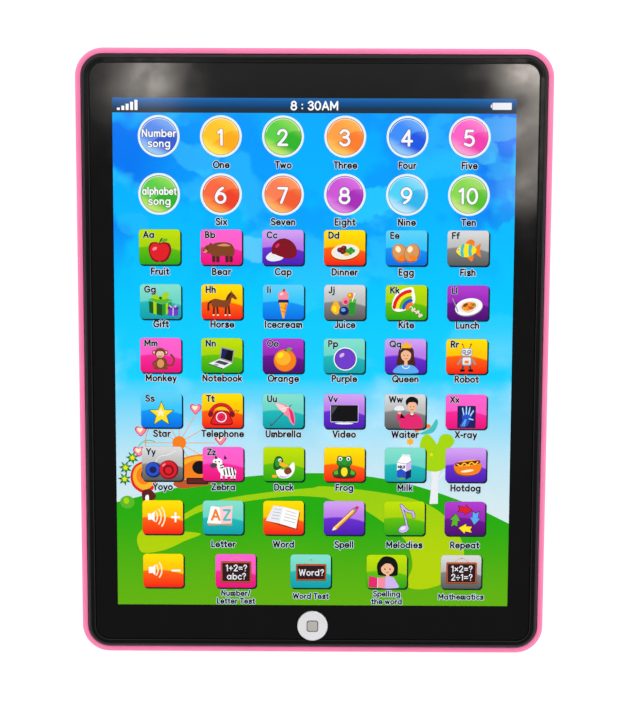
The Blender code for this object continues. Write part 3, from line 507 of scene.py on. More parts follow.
# Each tile's colours: the top edge, above the middle, below the middle and the bottom edge.
TILE_COLOURS = {
    "lime": ((190, 222, 0), (168, 210, 6), (98, 190, 8), (40, 164, 16)),
    "pink": ((255, 98, 206), (250, 92, 196), (246, 40, 156), (232, 16, 118)),
    "violet": ((208, 160, 240), (184, 122, 232), (104, 48, 206), (74, 26, 176)),
    "fire": ((255, 222, 0), (255, 196, 0), (255, 100, 10), (242, 30, 16)),
    "sky": ((92, 208, 246), (54, 196, 250), (14, 150, 244), (0, 110, 228)),
    "silver": ((216, 216, 216), (188, 188, 188), (132, 132, 132), (88, 88, 88)),
    "teal": ((132, 222, 204), (108, 212, 196), (30, 184, 184), (14, 156, 168)),
    "purple": ((176, 60, 204), (152, 42, 184), (108, 20, 146), (72, 10, 108)),
}


@cache
def tile_print(name):
    """Two glossy halves of one colour: a pale upper one and a deep lower one, meeting on a shallow curve."""
    look = Finish("tile_" + name, 0.3, coat=0.7, specular=0.15)
    top, upper, lower, bottom = [linear(*color) for color in TILE_COLOURS[name]]
    x, y = look.axis("X"), look.axis("Y")
    offset = look.math("ADD", x, 2.5 * MM)
    sag = look.times(look.times(offset, offset), -16.0)
    curve = look.math("SUBTRACT", y, sag)
    half = TILE_HEIGHT / 2 * MM
    pale = look.mix(look.between(y, 0.0, half), upper, top)
    deep = look.mix(look.between(y, -half, 0.0, soft=False), bottom, lower)
    return look.printed(look.mix(look.between(curve, -0.15 * MM, 0.75 * MM), deep, pale))


# Each disc's colours: the ball, its darker hill and its glow.
DISC_COLOURS = {
    "blue": ((90, 140, 236), (36, 80, 206), (170, 215, 250)),
    "amber": ((255, 196, 40), (250, 166, 24), (255, 236, 90)),
    "green": ((92, 206, 70), (34, 172, 36), (206, 238, 120)),
    "orange": ((255, 160, 70), (248, 116, 40), (255, 208, 100)),
    "azure": ((60, 140, 248), (16, 72, 222), (160, 214, 252)),
    "pink": ((252, 96, 196), (238, 44, 166), (255, 170, 214)),
    "ember": ((248, 104, 66), (234, 54, 34), (254, 170, 80)),
    "coral": ((250, 126, 84), (238, 84, 44), (255, 192, 110)),
    "plum": ((204, 86, 214), (158, 34, 176), (234, 146, 234)),
    "cyan": ((80, 208, 246), (36, 174, 234), (204, 238, 252)),
    "grass": ((134, 216, 76), (74, 186, 34), (216, 234, 150)),
}


@cache
def disc_print(name):
    """A glossy ball: a darker hill at the lower right, a glow at the lower left."""
    look = Finish("disc_" + name, 0.25, coat=0.8, specular=0.15)
    base, dark, glow = [linear(*color) for color in DISC_COLOURS[name]]
    x, y = look.axis("X"), look.axis("Y")
    wave = look.times(look.math("SINE", look.times(x, 420.0)), 1.4 * MM)
    hill = look.math("SUBTRACT", look.math("ADD", wave, look.times(x, 0.25)), y)
    shaded = look.mix(look.times(look.between(hill, -0.1 * MM, 0.7 * MM), 0.85), base, dark)
    towards = look.math("SUBTRACT", look.times(x, -0.5), y)
    lit = look.mix(look.times(look.between(towards, 2.4 * MM, 7.0 * MM), 0.8), shaded, glow)
    above = look.math("ADD", look.times(x, 0.6), y)
    return look.printed(look.mix(look.times(look.between(above, 2.0 * MM, 8.0 * MM), 0.35), lit, glow))


# ---- drawing on the sheet ----

CAP_STEPS = 5


def spline_span(four, steps):
    """Points of a Catmull-Rom curve between the second and the third of four points."""
    made = []
    for t in [step / steps for step in range(steps)]:
        weights = (-t + 2 * t**2 - t**3, 2 - 5 * t**2 + 3 * t**3, t + 4 * t**2 - 3 * t**3, t**3 - t**2)
        made.append(tuple(sum(w * p[k] for w, p in zip(weights, four)) / 2 for k in (0, 1)))
    return made


def smooth_loop(points, steps=6):
    """A closed curve through the points."""
    count = len(points)
    spans = [[points[(i + k - 1) % count] for k in range(4)] for i in range(count)]
    return [point for four in spans for point in spline_span(four, steps)]


def smooth_path(points, steps=6):
    """An open curve through the points."""
    ends = [points[0], *points, points[-1]]
    spans = [ends[i:i + 4] for i in range(len(points) - 1)]
    return [point for four in spans for point in spline_span(four, steps)] + [points[-1]]


def points_of(text):
    """The points of a text that gives each as x,y."""
    return [tuple(float(number) for number in pair.split(",")) for pair in text.split()]


class Print:
    """Layers of ink at one spot of the sheet, in millimetres from that spot, each over the one before."""

    def __init__(self, name, centre, level, scale=1.0):
        self.name, self.centre, self.level, self.scale = name, centre, level, scale
        self.bm = bmesh.new()
        self.looks = []
        self.floor = FILM_TOP + (level - 0.5) * LAYER

    def place(self, point):
        x, y = Vector(point) * self.scale
        return ((self.centre[0] + x) * MM, (self.centre[1] + y) * MM)

    def paint(self, faces, look):
        """Gives the faces their ink and makes the next layer a step higher."""
        if isinstance(look, str):
            look = ink(look)
        if look not in self.looks:
            self.looks.append(look)
        for face in faces:
            face.material_index = self.looks.index(look)
        self.level += 1

    def top(self):
        return FILM_TOP + self.level * LAYER

    def shape(self, look, outline):
        levels = straight([self.place(point) for point in outline], self.floor, self.top())
        self.paint(stack(self.bm, levels), look)

    def spun(self, look, x, y, tilt, outline):
        """An outline turned by the tilt, then moved to x, y."""
        spin = Matrix.Rotation(radians(tilt), 2)
        points = [spin @ Vector(point) for point in outline]
        self.shape(look, [(x + point.x, y + point.y) for point in points])

    def poly(self, look, *points):
        self.shape(look, points)

    def blob(self, look, *points):
        self.shape(look, smooth_loop(points))

    def oval(self, look, x, y, radius_x, radius_y=None, tilt=0.0, sides=28):
        size = (radius_x, radius_y or radius_x)
        self.spun(look, x, y, tilt, [(a * size[0], b * size[1]) for a, b in circle(1.0, sides=sides)])

    def card(self, look, x, y, width, height, corner=0.3):
        self.spun(look, x, y, 0.0, rounded_rectangle(width, height, corner, steps=4))

    def line(self, look, width, *points):
        """A stroke of that width on a smooth curve through the points, with round ends."""
        self.stroke(look, width, smooth_path(points) if len(points) > 2 else points)

    def arc(self, look, x, y, radius, width, start, end):
        steps = max(4, int(abs(end - start) / 12))
        turns = [radians(start + (end - start) * step / steps) for step in range(steps + 1)]
        self.stroke(look, width, [(x + radius * cos(turn), y + radius * sin(turn)) for turn in turns])

    def stroke(self, look, width, path):
        """An outline half the width to both sides of the path, round at its ends."""
        half = width / 2
        left, right = [], []
        for before, point, after in zip([path[0], *path], path, [*path[1:], path[-1]]):
            heading = atan2(after[1] - before[1], after[0] - before[0])
            aside, along = half * sin(heading), half * cos(heading)
            left.append((point[0] - aside, point[1] + along))
            right.append((point[0] + aside, point[1] - along))
        caps = []
        for end, before, after, start in ((path[0], *path[:2], pi / 2), (path[-1], *path[-2:], -pi / 2)):
            heading = atan2(after[1] - before[1], after[0] - before[0])
            turns = [heading + start + pi * k / CAP_STEPS for k in range(1, CAP_STEPS)]
            caps.append([(end[0] + half * cos(turn), end[1] + half * sin(turn)) for turn in turns])
        self.shape(look, left[::-1] + caps[0] + right + caps[1])

    def ring(self, look, x, y, radius, width, sides=36, tall=1.0):
        """A flat ring, round or oval: four loops of points, joined round."""
        outer, inner = width / 2, -width / 2
        loops = []
        for reach, z in ((outer, self.floor), (outer, self.top()), (inner, self.top()), (inner, self.floor)):
            size = (radius + reach, radius * tall + reach)
            points = [self.place((x + a * size[0], y + b * size[1])) for a, b in circle(1.0, sides=sides)]
            loops.append([self.bm.verts.new((*point, z)) for point in points])
        self.paint(bands(self.bm, loops, loops[1:] + loops[:1]), look)

    def heart(self, look, x, y, size):
        half = [(0, -1.0), (0.62, -0.45), (1.0, 0.12), (0.86, 0.62), (0.5, 0.78), (0.14, 0.58)]
        points = half + [(-a, b) for a, b in half[:0:-1]]
        self.blob(look, *[(x + a * size, y + b * size) for a, b in points])

    def star(self, look, x, y, reach, inner, tips=5, start=90.0):
        turns = [(radians(start + 180 * k / tips), inner if k % 2 else reach) for k in range(int(2 * tips))]
        self.poly(look, *[(x + r * cos(turn), y + r * sin(turn)) for turn, r in turns])

    def lettering(self, look, x, y, text, height, width, most=None, left=False):
        """Round-ended strokes, each a hair above the last, with the capitals centred on y."""
        letters = [glyph(letter) for letter in text]
        long = (sum(advance for advance, strokes in letters) - LETTER_GAP) * height
        squeeze = min(TIGHT, most / long) if most else 1.0
        pen = x if left else x - long * squeeze / 2
        wide = height * squeeze
        base = y - height / 2
        start = self.level
        for advance, strokes in letters:
            for kind, points in strokes:
                if kind == "oval":
                    (a, b), (radius_x, radius_y) = points
                    tall = radius_y / radius_x / squeeze
                    self.ring(look, pen + a * wide, base + b * height, radius_x * wide, width, 22, tall)
                else:
                    points = smooth_path(points, 4) if kind == "curve" else points
                    self.stroke(look, width, [(pen + a * wide, base + b * height) for a, b in points])
                self.level += STROKE_RISE - 1
            pen += advance * wide
        self.level = start + 1

    def outlined(self, text, x, y, height, most=None, rim=0.42, left=False):
        """Black letters on a pale edge."""
        for look, grow in (("pale_edge", rim), ("black", 0.0)):
            self.lettering(look, x, y, text, height, LETTER_WEIGHT * height + grow, most, left)

    def draw(self, marks):
        """Draws the marks of a text, written as explained above PICTURES."""
        for mark in re.split(r"\n\s*(?=[a-z])", marks.strip()):
            kind, look, *rest = mark.split()
            points = points_of(" ".join(part for part in rest if "," in part))
            sizes = [part if part.isalpha() else float(part) for part in rest if "," not in part]
            if kind in ("blob", "poly", "line"):
                getattr(self, kind)(look, *sizes, *points)
            else:
                for point in points:
                    getattr(self, kind)(look, *point, *sizes)

    def done(self):
        """The finished object, with its origin at the middle of the spot."""
        origin = (self.centre[0] * MM, self.centre[1] * MM, 0.0)
        made = mesh_object(self.name, self.bm, self.looks, origin, smooth=False)
        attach(made, "casing")


LETTER_GAP = 0.14  # between letters, of the capitals' height
LETTER_WEIGHT = 0.2  # of a label's strokes, of the capitals' height
TIGHT = 0.94  # the share of its own width that a label with a limit has at most
STROKE_RISE = 0.12  # of a layer

# Letters and figures of an own round-ended face, in hundredths of a capital's height: how far each moves the
# pen, then the middle lines of its strokes. An oval has its middle and its two radii.
STEM = "line 10,91 10,9"
BOWL_LEFT = "oval 35,35.5 25.5,26.5"
BOWL_RIGHT = "oval 37,35.5 25.5,26.5"
HUMP = "curve 10,36 17,55 32,62 47,55 52,38 52,9"
GLYPHS = {
    " ": "32",
    "a": f"82 {BOWL_LEFT} line 61,62 61,9",
    "b": f"76 {STEM} {BOWL_RIGHT}",
    "c": "68 curve 56,53 42,62 22,58 10,36 22,14 42,9 56,18",
    "d": f"82 {BOWL_LEFT} line 61,91 61,9",
    "e": "74 line 12,36 58,36 curve 59,36 52,56 35,62 16,54 10,36 17,16 36,9 56,17",
    "f": "50 curve 42,91 28,88 21,74 21,9 line 6,60 39,60",
    "g": f"82 {BOWL_LEFT} curve 61,62 61,0 52,-16 34,-20 15,-13",
    "h": f"72 {STEM} {HUMP}",
    "i": "32 line 10,62 10,9 line 10,88 10,90",
    "j": "36 curve 16,62 16,0 10,-17 -4,-20 line 16,88 16,90",
    "k": f"66 {STEM} line 47,62 14,32 line 26,42 51,9",
    "l": f"32 {STEM}",
    "m": "98 line 10,62 10,9 curve 10,40 18,58 30,62 40,57 44,40 44,9"
         " curve 44,40 52,58 64,62 75,57 79,40 79,9",
    "n": f"72 line 10,62 10,9 {HUMP}",
    "o": f"76 {BOWL_LEFT}",
    "p": f"76 line 10,62 10,-20 {BOWL_RIGHT}",
    "q": f"82 {BOWL_LEFT} line 61,62 61,-20",
    "r": "50 line 10,62 10,9 curve 10,38 20,56 38,62",
    "s": "66 curve 50,58 33,65 14,58 16,43 33,36 51,27 49,12 29,6 9,13",
    "t": "52 curve 22,84 22,20 28,10 40,10 line 6,62 40,62",
    "u": "72 line 52,62 52,9 curve 10,62 10,32 16,14 31,9 46,16 52,34",
    "v": "66 line 8,62 30,9 line 30,9 52,62",
    "w": "94 line 8,62 25,9 line 25,9 43,60 line 43,60 61,9 line 61,9 78,62",
    "x": "66 line 8,62 50,9 line 50,62 8,9",
    "y": "68 line 8,62 31,11 line 54,62 20,-20",
    "z": "64 line 9,62 48,62 line 48,62 9,9 line 9,9 50,9",
    "A": "84 line 7,9 38,91 line 38,91 69,9 line 18,35 58,35",
    "B": f"76 {STEM} curve 10,91 38,90 50,72 38,54 10,52 curve 10,52 42,50 58,30 42,11 10,9",
    "C": "88 curve 73,78 50,91 22,82 9,50 22,18 50,9 73,22",
    "D": f"84 {STEM} curve 10,91 38,89 60,75 68,50 60,25 38,11 10,9",
    "E": f"66 {STEM} line 10,91 50,91 line 10,51 46,51 line 10,9 50,9",
    "F": f"62 {STEM} line 10,91 50,91 line 10,50 44,50",
    "G": "94 curve 74,78 50,91 22,82 9,50 22,18 50,9 72,20 78,46 line 50,46 78,46",
    "H": f"82 {STEM} line 64,91 64,9 line 10,51 64,51",
    "I": f"34 {STEM}",
    "J": "60 curve 42,91 42,30 36,14 22,9 7,19",
    "K": f"74 {STEM} line 58,91 14,46 line 26,56 60,9",
    "L": f"60 {STEM} line 10,9 48,9",
    "M": f"98 {STEM} line 10,91 44,30 line 44,30 78,91 line 78,91 78,9",
    "N": f"84 {STEM} line 10,91 64,9 line 64,9 64,91",
    "O": "98 oval 48,50 38,41",
    "P": f"70 {STEM} curve 10,91 42,89 55,68 42,47 10,45",
    "Q": "100 oval 48,50 38,41 line 58,32 84,6",
    "R": f"74 {STEM} curve 10,91 42,89 55,69 42,50 10,48 line 34,46 58,9",
    "S": "74 curve 58,80 38,91 17,85 12,68 30,53 52,43 60,26 48,11 26,9 8,20",
    "T": "72 line 6,91 62,91 line 34,91 34,9",
    "U": "80 curve 10,91 10,36 18,15 36,9 54,15 62,36 62,91",
    "V": "78 line 7,91 36,9 line 36,9 65,91",
    "W": "110 line 7,91 28,9 line 28,9 51,86 line 51,86 74,9 line 74,9 95,91",
    "X": "76 line 8,91 60,9 line 60,91 8,9",
    "Y": "74 line 7,91 34,48 line 61,91 34,48 line 34,48 34,9",
    "Z": "74 line 9,91 60,91 line 60,91 9,9 line 9,9 62,9",
    "0": "76 oval 34,50 26,41",
    "1": "46 line 8,77 26,91 line 26,91 26,9",
    "2": "72 curve 9,70 20,88 42,90 54,72 42,46 9,10 line 9,9 58,9",
    "3": "72 curve 10,77 26,91 46,87 54,72 42,56 26,53 curve 26,53 48,49 58,31 48,13 26,8 8,22",
    "4": "76 line 46,91 46,9 line 46,91 8,32 line 8,32 62,32",
    "5": "72 line 52,91 17,91 line 17,91 12,54 curve 12,54 34,60 54,48 55,24 36,9 8,18",
    "6": "74 oval 34,34 26,26 curve 46,91 24,74 11,50 8,34",
    "7": "68 line 8,91 56,91 line 56,91 24,9",
    "8": "74 oval 34,70 21,21 oval 34,31 26,23",
    "9": "74 oval 34,66 26,26 curve 22,9 44,26 57,50 60,66",
    "/": "50 line 8,0 34,96",
    "-": "48 line 8,40 32,40",
    "+": "70 line 8,46 54,46 line 31,70 31,22",
    "=": "70 line 8,60 54,60 line 8,34 54,34",
    "×": "68 line 10,66 50,26 line 50,66 10,26",
    "÷": "70 line 8,46 54,46 line 31,74 31,76 line 31,16 31,18",
    "?": "62 curve 8,72 20,89 40,88 48,70 36,52 28,36 line 28,10 28,12",
    ":": "40 line 16,60 16,62 line 16,20 16,22",
}


def glyph(letter):
    """How far the letter moves the pen, and its strokes as (kind, points), for capitals one unit high."""
    advance, *strokes = re.split(" (?=[a-z])", GLYPHS[letter])
    made = []
    for stroke in strokes:
        kind, text = stroke.split(" ", 1)
        made.append((kind, [(x / 100, y / 100) for x, y in points_of(text)]))
    return float(advance) / 100, made


# ---- pictures on the keys, in millimetres from the middle of the tile ----

# A mark is a kind, an ink, its sizes, then its points as x,y. Blobs, polygons and lines run through their
# points; any other mark is drawn at each of its points. A line that starts with a number goes on with the
# mark above it.
PICTURES = {
    "Fruit": """
    blob dark_red -3.9,-1 -3.2,1.3 -1.2,1.7 0,1.2 1.2,1.7 3.4,1.2 4.1,-1.2 2.9,-4.3 1,-5.4 0,-5.1 -1,-5.4
      -2.9,-4.2
    blob red -3.4,-1 -2.6,1 -1,1.3 0,0.8 1.2,1.2 2.8,0.6 3.4,-1.2 2.3,-3.8 0.6,-4.8 -1.2,-4.6 -2.7,-3.4
    oval pink 0.9 0.55 30 -1.7,-0.6
    line dark_brown 0.4 0,1 0.3,2.2 0.9,3
    blob leaf 0.4,2 1.6,2.9 2.9,2.6 1.8,1.8""",
    "Bear": """
    card dark_brown 1.2 2.6 0.4 -2.6,-4 -1.2,-4 2,-4 3.4,-4
    blob brown -4.2,-0.8 -2.6,1.2 0.2,1.7 3.2,1.3 4.6,-0.8 4.1,-3 1,-3 -1.8,-3.2 -3.6,-2.6
    oval brown 1.8 1.5 20 -4.3,-0.7
    oval brown 0.55 -3.6,0.9
    oval tan 0.8 0.55 -5.6,-1.4
    oval black 0.28 -6.1,-1.2
    oval black 0.2 -4.7,-0.3
    blob tan -1.4,0.6 1.2,1.2 3.2,0.5 1,0.3""",
    "Cap": """
    blob soft_white -5.6,-3 -3.4,-1.4 0.4,-1.6 -0.2,-4 -3.4,-4.8 -5.4,-4.2
    blob dark_red -3.9,-1.8 -3.4,1 -1,2.9 2,2.7 4.3,0.5 4.6,-2.6 2.4,-3.9 -0.6,-3.2 -2.6,-2.4
    line maroon 0.25 0.4,2.9 -0.9,0.5 -1.2,-2.8
    line maroon 0.25 0.8,2.9 2.4,0.6 2.9,-3.2
    oval rose 0.9 0.5 50 -1.9,0.6
    oval maroon 0.5 0.3 0.6,2.8""",
    "Dinner": """
    oval brown 5.6 3.1 6 0.3,-1.9
    oval cream 5.5 3 6 0.3,-1.6
    oval soft_white 4.5 2.3 6 0.3,-1.5
    oval maroon 1.15 1 -1.8,-0.9 -0.3,-0.2 -0.6,-1.6
    oval red 0.4 0.28 -2,-0.6 -0.5,0.1 -0.8,-1.3
    oval green 0.95 0.7 30 1.2,-1.2 2.3,-0.6 2.2,-2 3.2,-1.3
    oval leaf 0.45 0.3 1.6,-0.7 2.8,-1.6
    oval amber 1.1 0.6 0.8,-2.6""",
    "Egg": """
    oval brick 2.75 3.5 24 -2.2,-1.9
    oval tan 2.45 3.2 24 -2.3,-1.7
    oval cream 0.9 1.2 24 -2.9,-0.5
    oval orange 1.5 0.9 24 -1.7,-3.6
    oval brick 2.75 3.5 -22 2,-1.9
    oval tan 2.45 3.2 -22 1.9,-1.7
    oval cream 0.9 1.2 -22 1.3,-0.5
    oval orange 1.5 0.9 -22 2.5,-3.6""",
    "Fish": """
    blob orange 2.3,-0.8 4.9,1.8 4.6,-0.9 5,-3.6
    blob orange -1.2,1.2 0.6,3.4 2.4,2.6 2,0.6
    blob orange -0.6,-3 1.4,-5.2 2.2,-3.4 1.4,-2.2
    blob yellow -4.6,-1.2 -2.2,1.5 1.2,1.3 3.4,-0.8 1,-3.1 -2.2,-3.4
    blob teal -2.6,1.1 -1.4,1.5 -1.8,-0.9 -1.6,-3.3 -2.7,-3.1 -3,-1
    blob teal 0.4,1.3 1.7,0.9 1.3,-1 1.5,-2.7 0.4,-3.1 0.1,-1
    oval white 0.55 -3.5,-0.6
    oval black 0.28 -3.6,-0.6""",
    "Gift": """
    poly dark_green -4.6,0.2 0.6,-1.2 0.6,-5.6 -4.4,-4.4
    poly green 0.6,-1.2 4.4,0 4.2,-4.2 0.6,-5.6
    poly leaf -5,0.8 -0.8,2 4.8,0.6 0.6,-1
    poly lime -2.9,0.2 -1.6,-0.3 -1.6,-5.1 -2.8,-4.8
    poly lime 2,-0.8 3,-0.4 2.9,-4.7 2,-5.1
    blob lime 0,1.2 -2.8,3.6 -3.4,1.9 -1.6,0.8
    blob lime 0.2,1.2 1.6,3.6 3.4,2.9 2.2,1
    oval dark_green 0.6 0.5 0,1.4
    card violet 4 3.6 0.4 4.9,-3.8
    card purple 4.4 1 0.3 4.9,-2.6
    line lilac 0.5 4.9,-2.4 4.9,-5.4
    blob lilac 4.9,-2.2 3.4,-1.2 3.9,-2.4 4.9,-2.1 6.2,-1.1 6,-2.3""",
    "Horse": """
    line dark_brown 0.75 -3,-1.6 -3.3,-5
    oval cream 0.42 0.3 -3.3,-5.2
    line dark_brown 0.75 -1.9,-1.6 -1.6,-5
    oval cream 0.42 0.3 -1.6,-5.2
    line dark_brown 0.75 1.6,-1.6 1.4,-5
    oval cream 0.42 0.3 1.4,-5.2
    line dark_brown 0.75 2.6,-1.6 3,-5
    oval cream 0.42 0.3 3,-5.2
    line dark_brown 0.8 -3.8,0.4 -5.2,-0.8 -5.3,-3.2
    blob brown -4.2,0.2 -2.6,1.2 0.6,0.6 2.6,1.2 3,-1 1.4,-2.2 -1.6,-1.9 -3.6,-2.2
    blob brown 1.6,0.2 2.6,2.4 3.8,3.7 5.4,2.2 5.9,1.2 5,1 3.9,1.6 3.2,-0.6
    blob dark_brown 1.6,1 2.4,2.8 3.7,3.9 3.3,2.4 2.2,0.8
    poly brown 3.4,3.4 3.5,4.5 4.1,3.6
    oval black 0.2 4.4,2.5""",
    "Icecream": """
    poly amber -1.5,-0.2 1.5,-0.2 0.3,-5.8 -0.3,-5.8
    poly orange 0.5,-0.2 1.5,-0.2 0.3,-5.8
    line brick 0.16 -1.1,-1.8 1,-2.4
    line brick 0.16 -1.1,-3.2 1,-3.8
    oval pink 1.9 1.9 0,2.2
    oval pale_pink 0.7 0.5 30 -0.6,2.9
    card navy 3.7 1.3 0.4 0,0.2
    card amber 3 0.6 0.2 0,-0.5
    oval red 0.5 0.2,4.2""",
    "Juice": """
    blob amber -5.4,-3 -4.6,-0.6 -3.4,0.6 -2.4,-0.6 -1.8,-3.2 -3.4,-4.9
    oval yellow 0.8 1.2 20 -4,-2.6
    poly leaf 1.3,1.2 4.5,1.2 3.9,-5.2 1.9,-5.2
    poly green 1.5,-0.2 4.3,-0.2 3.9,-5.2 1.9,-5.2
    line white 0.35 2.9,0.4 3.9,3.7
    oval navy 1.9 1.7 -0.3,-3.4
    oval sky 0.9 0.7 -0.6,-3
    oval pink 1.5 0.2,0.4
    oval rose 0.8 0.4,0.1
    oval orange 1.2 2.2,2.6
    oval yellow 0.5 1.9,2.9""",
    "Kite": """
    blob white -5.6,-1.9 -4.6,2.4 -1.8,5 2,6 3,4.6 3.4,0.4 0.6,-2.6 -3.4,-3.6
    arc red 6.9 1.4 96 176 2.2,-2.4
    arc yellow 5.6 1.3 96 176 2.2,-2.4
    arc leaf 4.4 1.2 96 176 2.2,-2.4
    arc blue 3.2 1.3 96 176 2.2,-2.4
    arc orange 1.8 1.5 96 176 2.2,-2.4
    line white 0.35 2.2,-1.8 3.2,-3.4 4.6,-3.8 5.8,-5.6
    poly pale_pink 1.9,-2.7 2.2,-3.7 3.7,-2.8 3.4,-2
    poly pale_pink 3.5,-3.6 3.8,-4.6 5.3,-3.7 5,-2.9
    poly pale_pink 4.7,-5 5,-6 6.5,-5.1 6.2,-4.3""",
    "Lunch": """
    oval grey 5.5 3.4 12 0.5,-1.9
    oval white 5.4 3.3 12 0.4,-1.6
    oval soft_white 3.9 2.3 12 0.4,-1.5
    oval orange 2.9 1.6 12 0.4,-1.4
    arc amber 0.7 0.25 20 200 0.3,-1.5
    arc amber 1.2 0.25 60 240 0.3,-1.5
    arc amber 1.7 0.25 100 280 0.3,-1.5
    arc amber 2.2 0.25 140 320 0.3,-1.5
    oval brown 1.1 0.6 30 -0.9,-0.9
    oval brick 1 0.5 -20 1.2,-2
    oval green 0.7 0.4 40 2.2,-0.7
    line grey 0.4 -5.9,1.6 -3.8,-3.4""",
    "Monkey": """
    line brown 0.8 2,-4 4.6,-3.8 5.2,-1.4 4,0.2
    oval brown 2.4 2.5 0.2,-3.2
    oval tan 1.4 1.7 -0.1,-3.3
    oval brown 1.3 0.6 -1.6,-5.2 1.6,-5.2
    oval brown 0.9 -2.5,1.1
    oval pale_pink 0.5 -2.5,1.1
    oval brown 0.9 2.1,1.1
    oval pale_pink 0.5 2.1,1.1
    oval brown 2.2 2 -0.2,0.9
    oval skin 1.6 1.3 -0.2,0.3
    oval white 0.45 -0.9,1
    oval black 0.22 -0.9,0.9
    oval white 0.45 0.5,1
    oval black 0.22 0.5,0.9
    arc dark_brown 0.8 0.2 210 330 -0.2,0.3
    line brown 0.7 -1.6,-2 -3,-3.2 -2.4,-4.4""",
    "Notebook": """
    poly grey -0.3,3.4 5,2.2 4.2,-3 -0.9,-1.4
    poly black 0.1,2.8 4.5,1.8 3.9,-2.4 -0.4,-1
    poly navy 0.4,2.3 2.2,1.9 1,-1 -0.1,-0.7
    poly soft_white -0.9,-1.4 4.2,-3 0.6,-5.2 -5.2,-3.2
    poly dark_grey -1.1,-1.9 2.8,-3 1.2,-3.9 -2.9,-2.7
    poly grey -2.6,-3.3 -1,-3.7 -1.8,-4.2 -3.4,-3.7
    poly dark_grey -5.2,-3.2 0.6,-5.2 0.6,-5.6 -5.2,-3.6""",
    "Orange": """
    oval brick 4.5 0.8,-1.9
    oval orange 4.3 0.7,-1.8
    oval amber 3 2.8 0,-1
    oval yellow 1.3 1 30 -1,0.2
    oval dark_green 0.5 0.35 1.1,2.1
    blob leaf 1.1,2.2 2.3,3.2 3.6,2.8 2.4,2""",
    "Purple": """
    oval white 4.6 0.4,-1.2
    oval navy 4.2 0.4,-1.2
    oval violet 4 0.4,-1.2
    oval lilac 1.1 0.7 40 -0.9,0.3""",
    "Queen": """
    blob dark_brown -2.9,0.4 -2.2,3.2 0.4,4.4 2.9,3 3.4,0 3.9,-3.6 2,-4.6 -1.6,-4.6 -3.4,-3.6
    blob sky -4.4,-6.6 -3.4,-4.2 -1.2,-3.4 1.6,-3.4 3.8,-4.2 4.8,-6.6
    card skin 1.3 2 0.4 0.2,-2.8
    oval skin 2 2.4 0.2,0.4
    blob dark_brown -1.9,1.2 -1.2,3.1 0.4,3.4 2,2.8 2.4,1 1.2,2 -0.4,2.3
    poly amber -1.7,3.2 -2,5.4 -0.8,4.4 0.3,6 1.4,4.4 2.5,5.4 2.2,3.2
    oval dark_brown 0.2 0.25 -0.55,0.3 0.95,0.3
    arc red 0.6 0.2 215 325 0.2,-0.5
    arc white 1.5 0.3 200 340 0.2,-3.4""",
    "Robot": """
    line dark_grey 0.8 -1.3,-3.2 -1.56,-5
    card black 1.9 0.9 0.3 -1.625,-5.6
    line grey 0.7 -2.21,-1.2 -3.38,-3
    line dark_grey 0.25 -1.04,3.2 -1.69,4.7
    oval red 0.35 -1.69,4.8
    line dark_grey 0.8 1.3,-3.2 1.56,-5
    card black 1.9 0.9 0.3 1.625,-5.6
    line grey 0.7 2.21,-1.2 3.38,-3
    line dark_grey 0.25 1.04,3.2 1.69,4.7
    oval red 0.35 1.69,4.8
    card grey 3.8 3.4 0.6 0,-2
    card soft_white 3.2 2.8 0.5 0,-1.8
    card orange 1.7 1.1 0.2 0,-2.2
    card grey 4.4 3.2 0.9 0,1.6
    card soft_white 4 2.8 0.8 0,1.7
    oval dark_grey 0.8 -1,1.8
    oval white 0.5 -1,1.8
    oval black 0.25 -1,1.7
    oval dark_grey 0.8 1,1.8
    oval white 0.5 1,1.8
    oval black 0.25 1,1.7
    line dark_grey 0.3 -0.7,0.7 0.7,0.7""",
    "Star": """
    star dark_green 5.2 2.2 0,-1.4
    star yellow 4.6 1.95 0,-1.4
    star cream 1.8 0.8 -0.3,-0.9""",
    "Telephone": """
    blob dark_red -4.6,-5.4 -3.9,-2.6 -2.2,-0.2 2,-0.2 3.4,-2.6 4,-5.4 0,-5.9
    blob red -4.2,-5 -3.4,-2.6 -1.9,-0.6 1.7,-0.6 3,-2.6 3.6,-5 0,-5.4
    arc dark_red 4.4 1.5 12 168 -0.4,-2
    arc red 4.4 1 12 168 -0.4,-1.9
    oval dark_red 1.2 1 70 -4.6,-1.4
    oval dark_red 1.2 1 -70 3.9,-1.4
    oval white 2.1 -0.4,-2.6
    oval rose 1.75 -0.4,-2.6
    oval red 0.8 -0.4,-2.6
    line dark_red 0.2 4.4,-0.6 5.4,0.3 6,-0.4 6.6,0.2""",
    "Umbrella": """
    line dark_grey 0.35 2.4,1.6 -4,-5.2 -4.9,-5.9 -5.1,-4.9
    blob pink -3.2,3 0.2,2.7 3.4,0.6 4.6,-2.6 4.3,-5.6 2.8,-4.4 1.9,-2.4 0.4,-1.4 -0.4,-0.2 -1.8,0.6
      -2.4,1.8
    blob pale_pink -3,2.9 -0.4,2.4 1.4,0.9 0.2,-0.6 -1.6,0.9
    blob rose 2.2,1.2 3.8,-0.8 4.4,-5.2 3.2,-3.6 2.6,-0.8
    line white 0.2 -1.7,0.7 2.4,1.6
    line dark_grey 0.25 2.3,1.5 3.2,2.5""",
    "Video": """
    card soft_white 11 6.9 0.4 0.1,-1
    card black 10.7 6.6 0.2 0.1,-0.9
    poly dark_grey -4.9,1.9 -2.6,1.9 -4.9,-1.4
    card grey 1.6 0.7 0.1 0.1,-4.6
    oval soft_white 3.6 0.4 0.1,-4.9""",
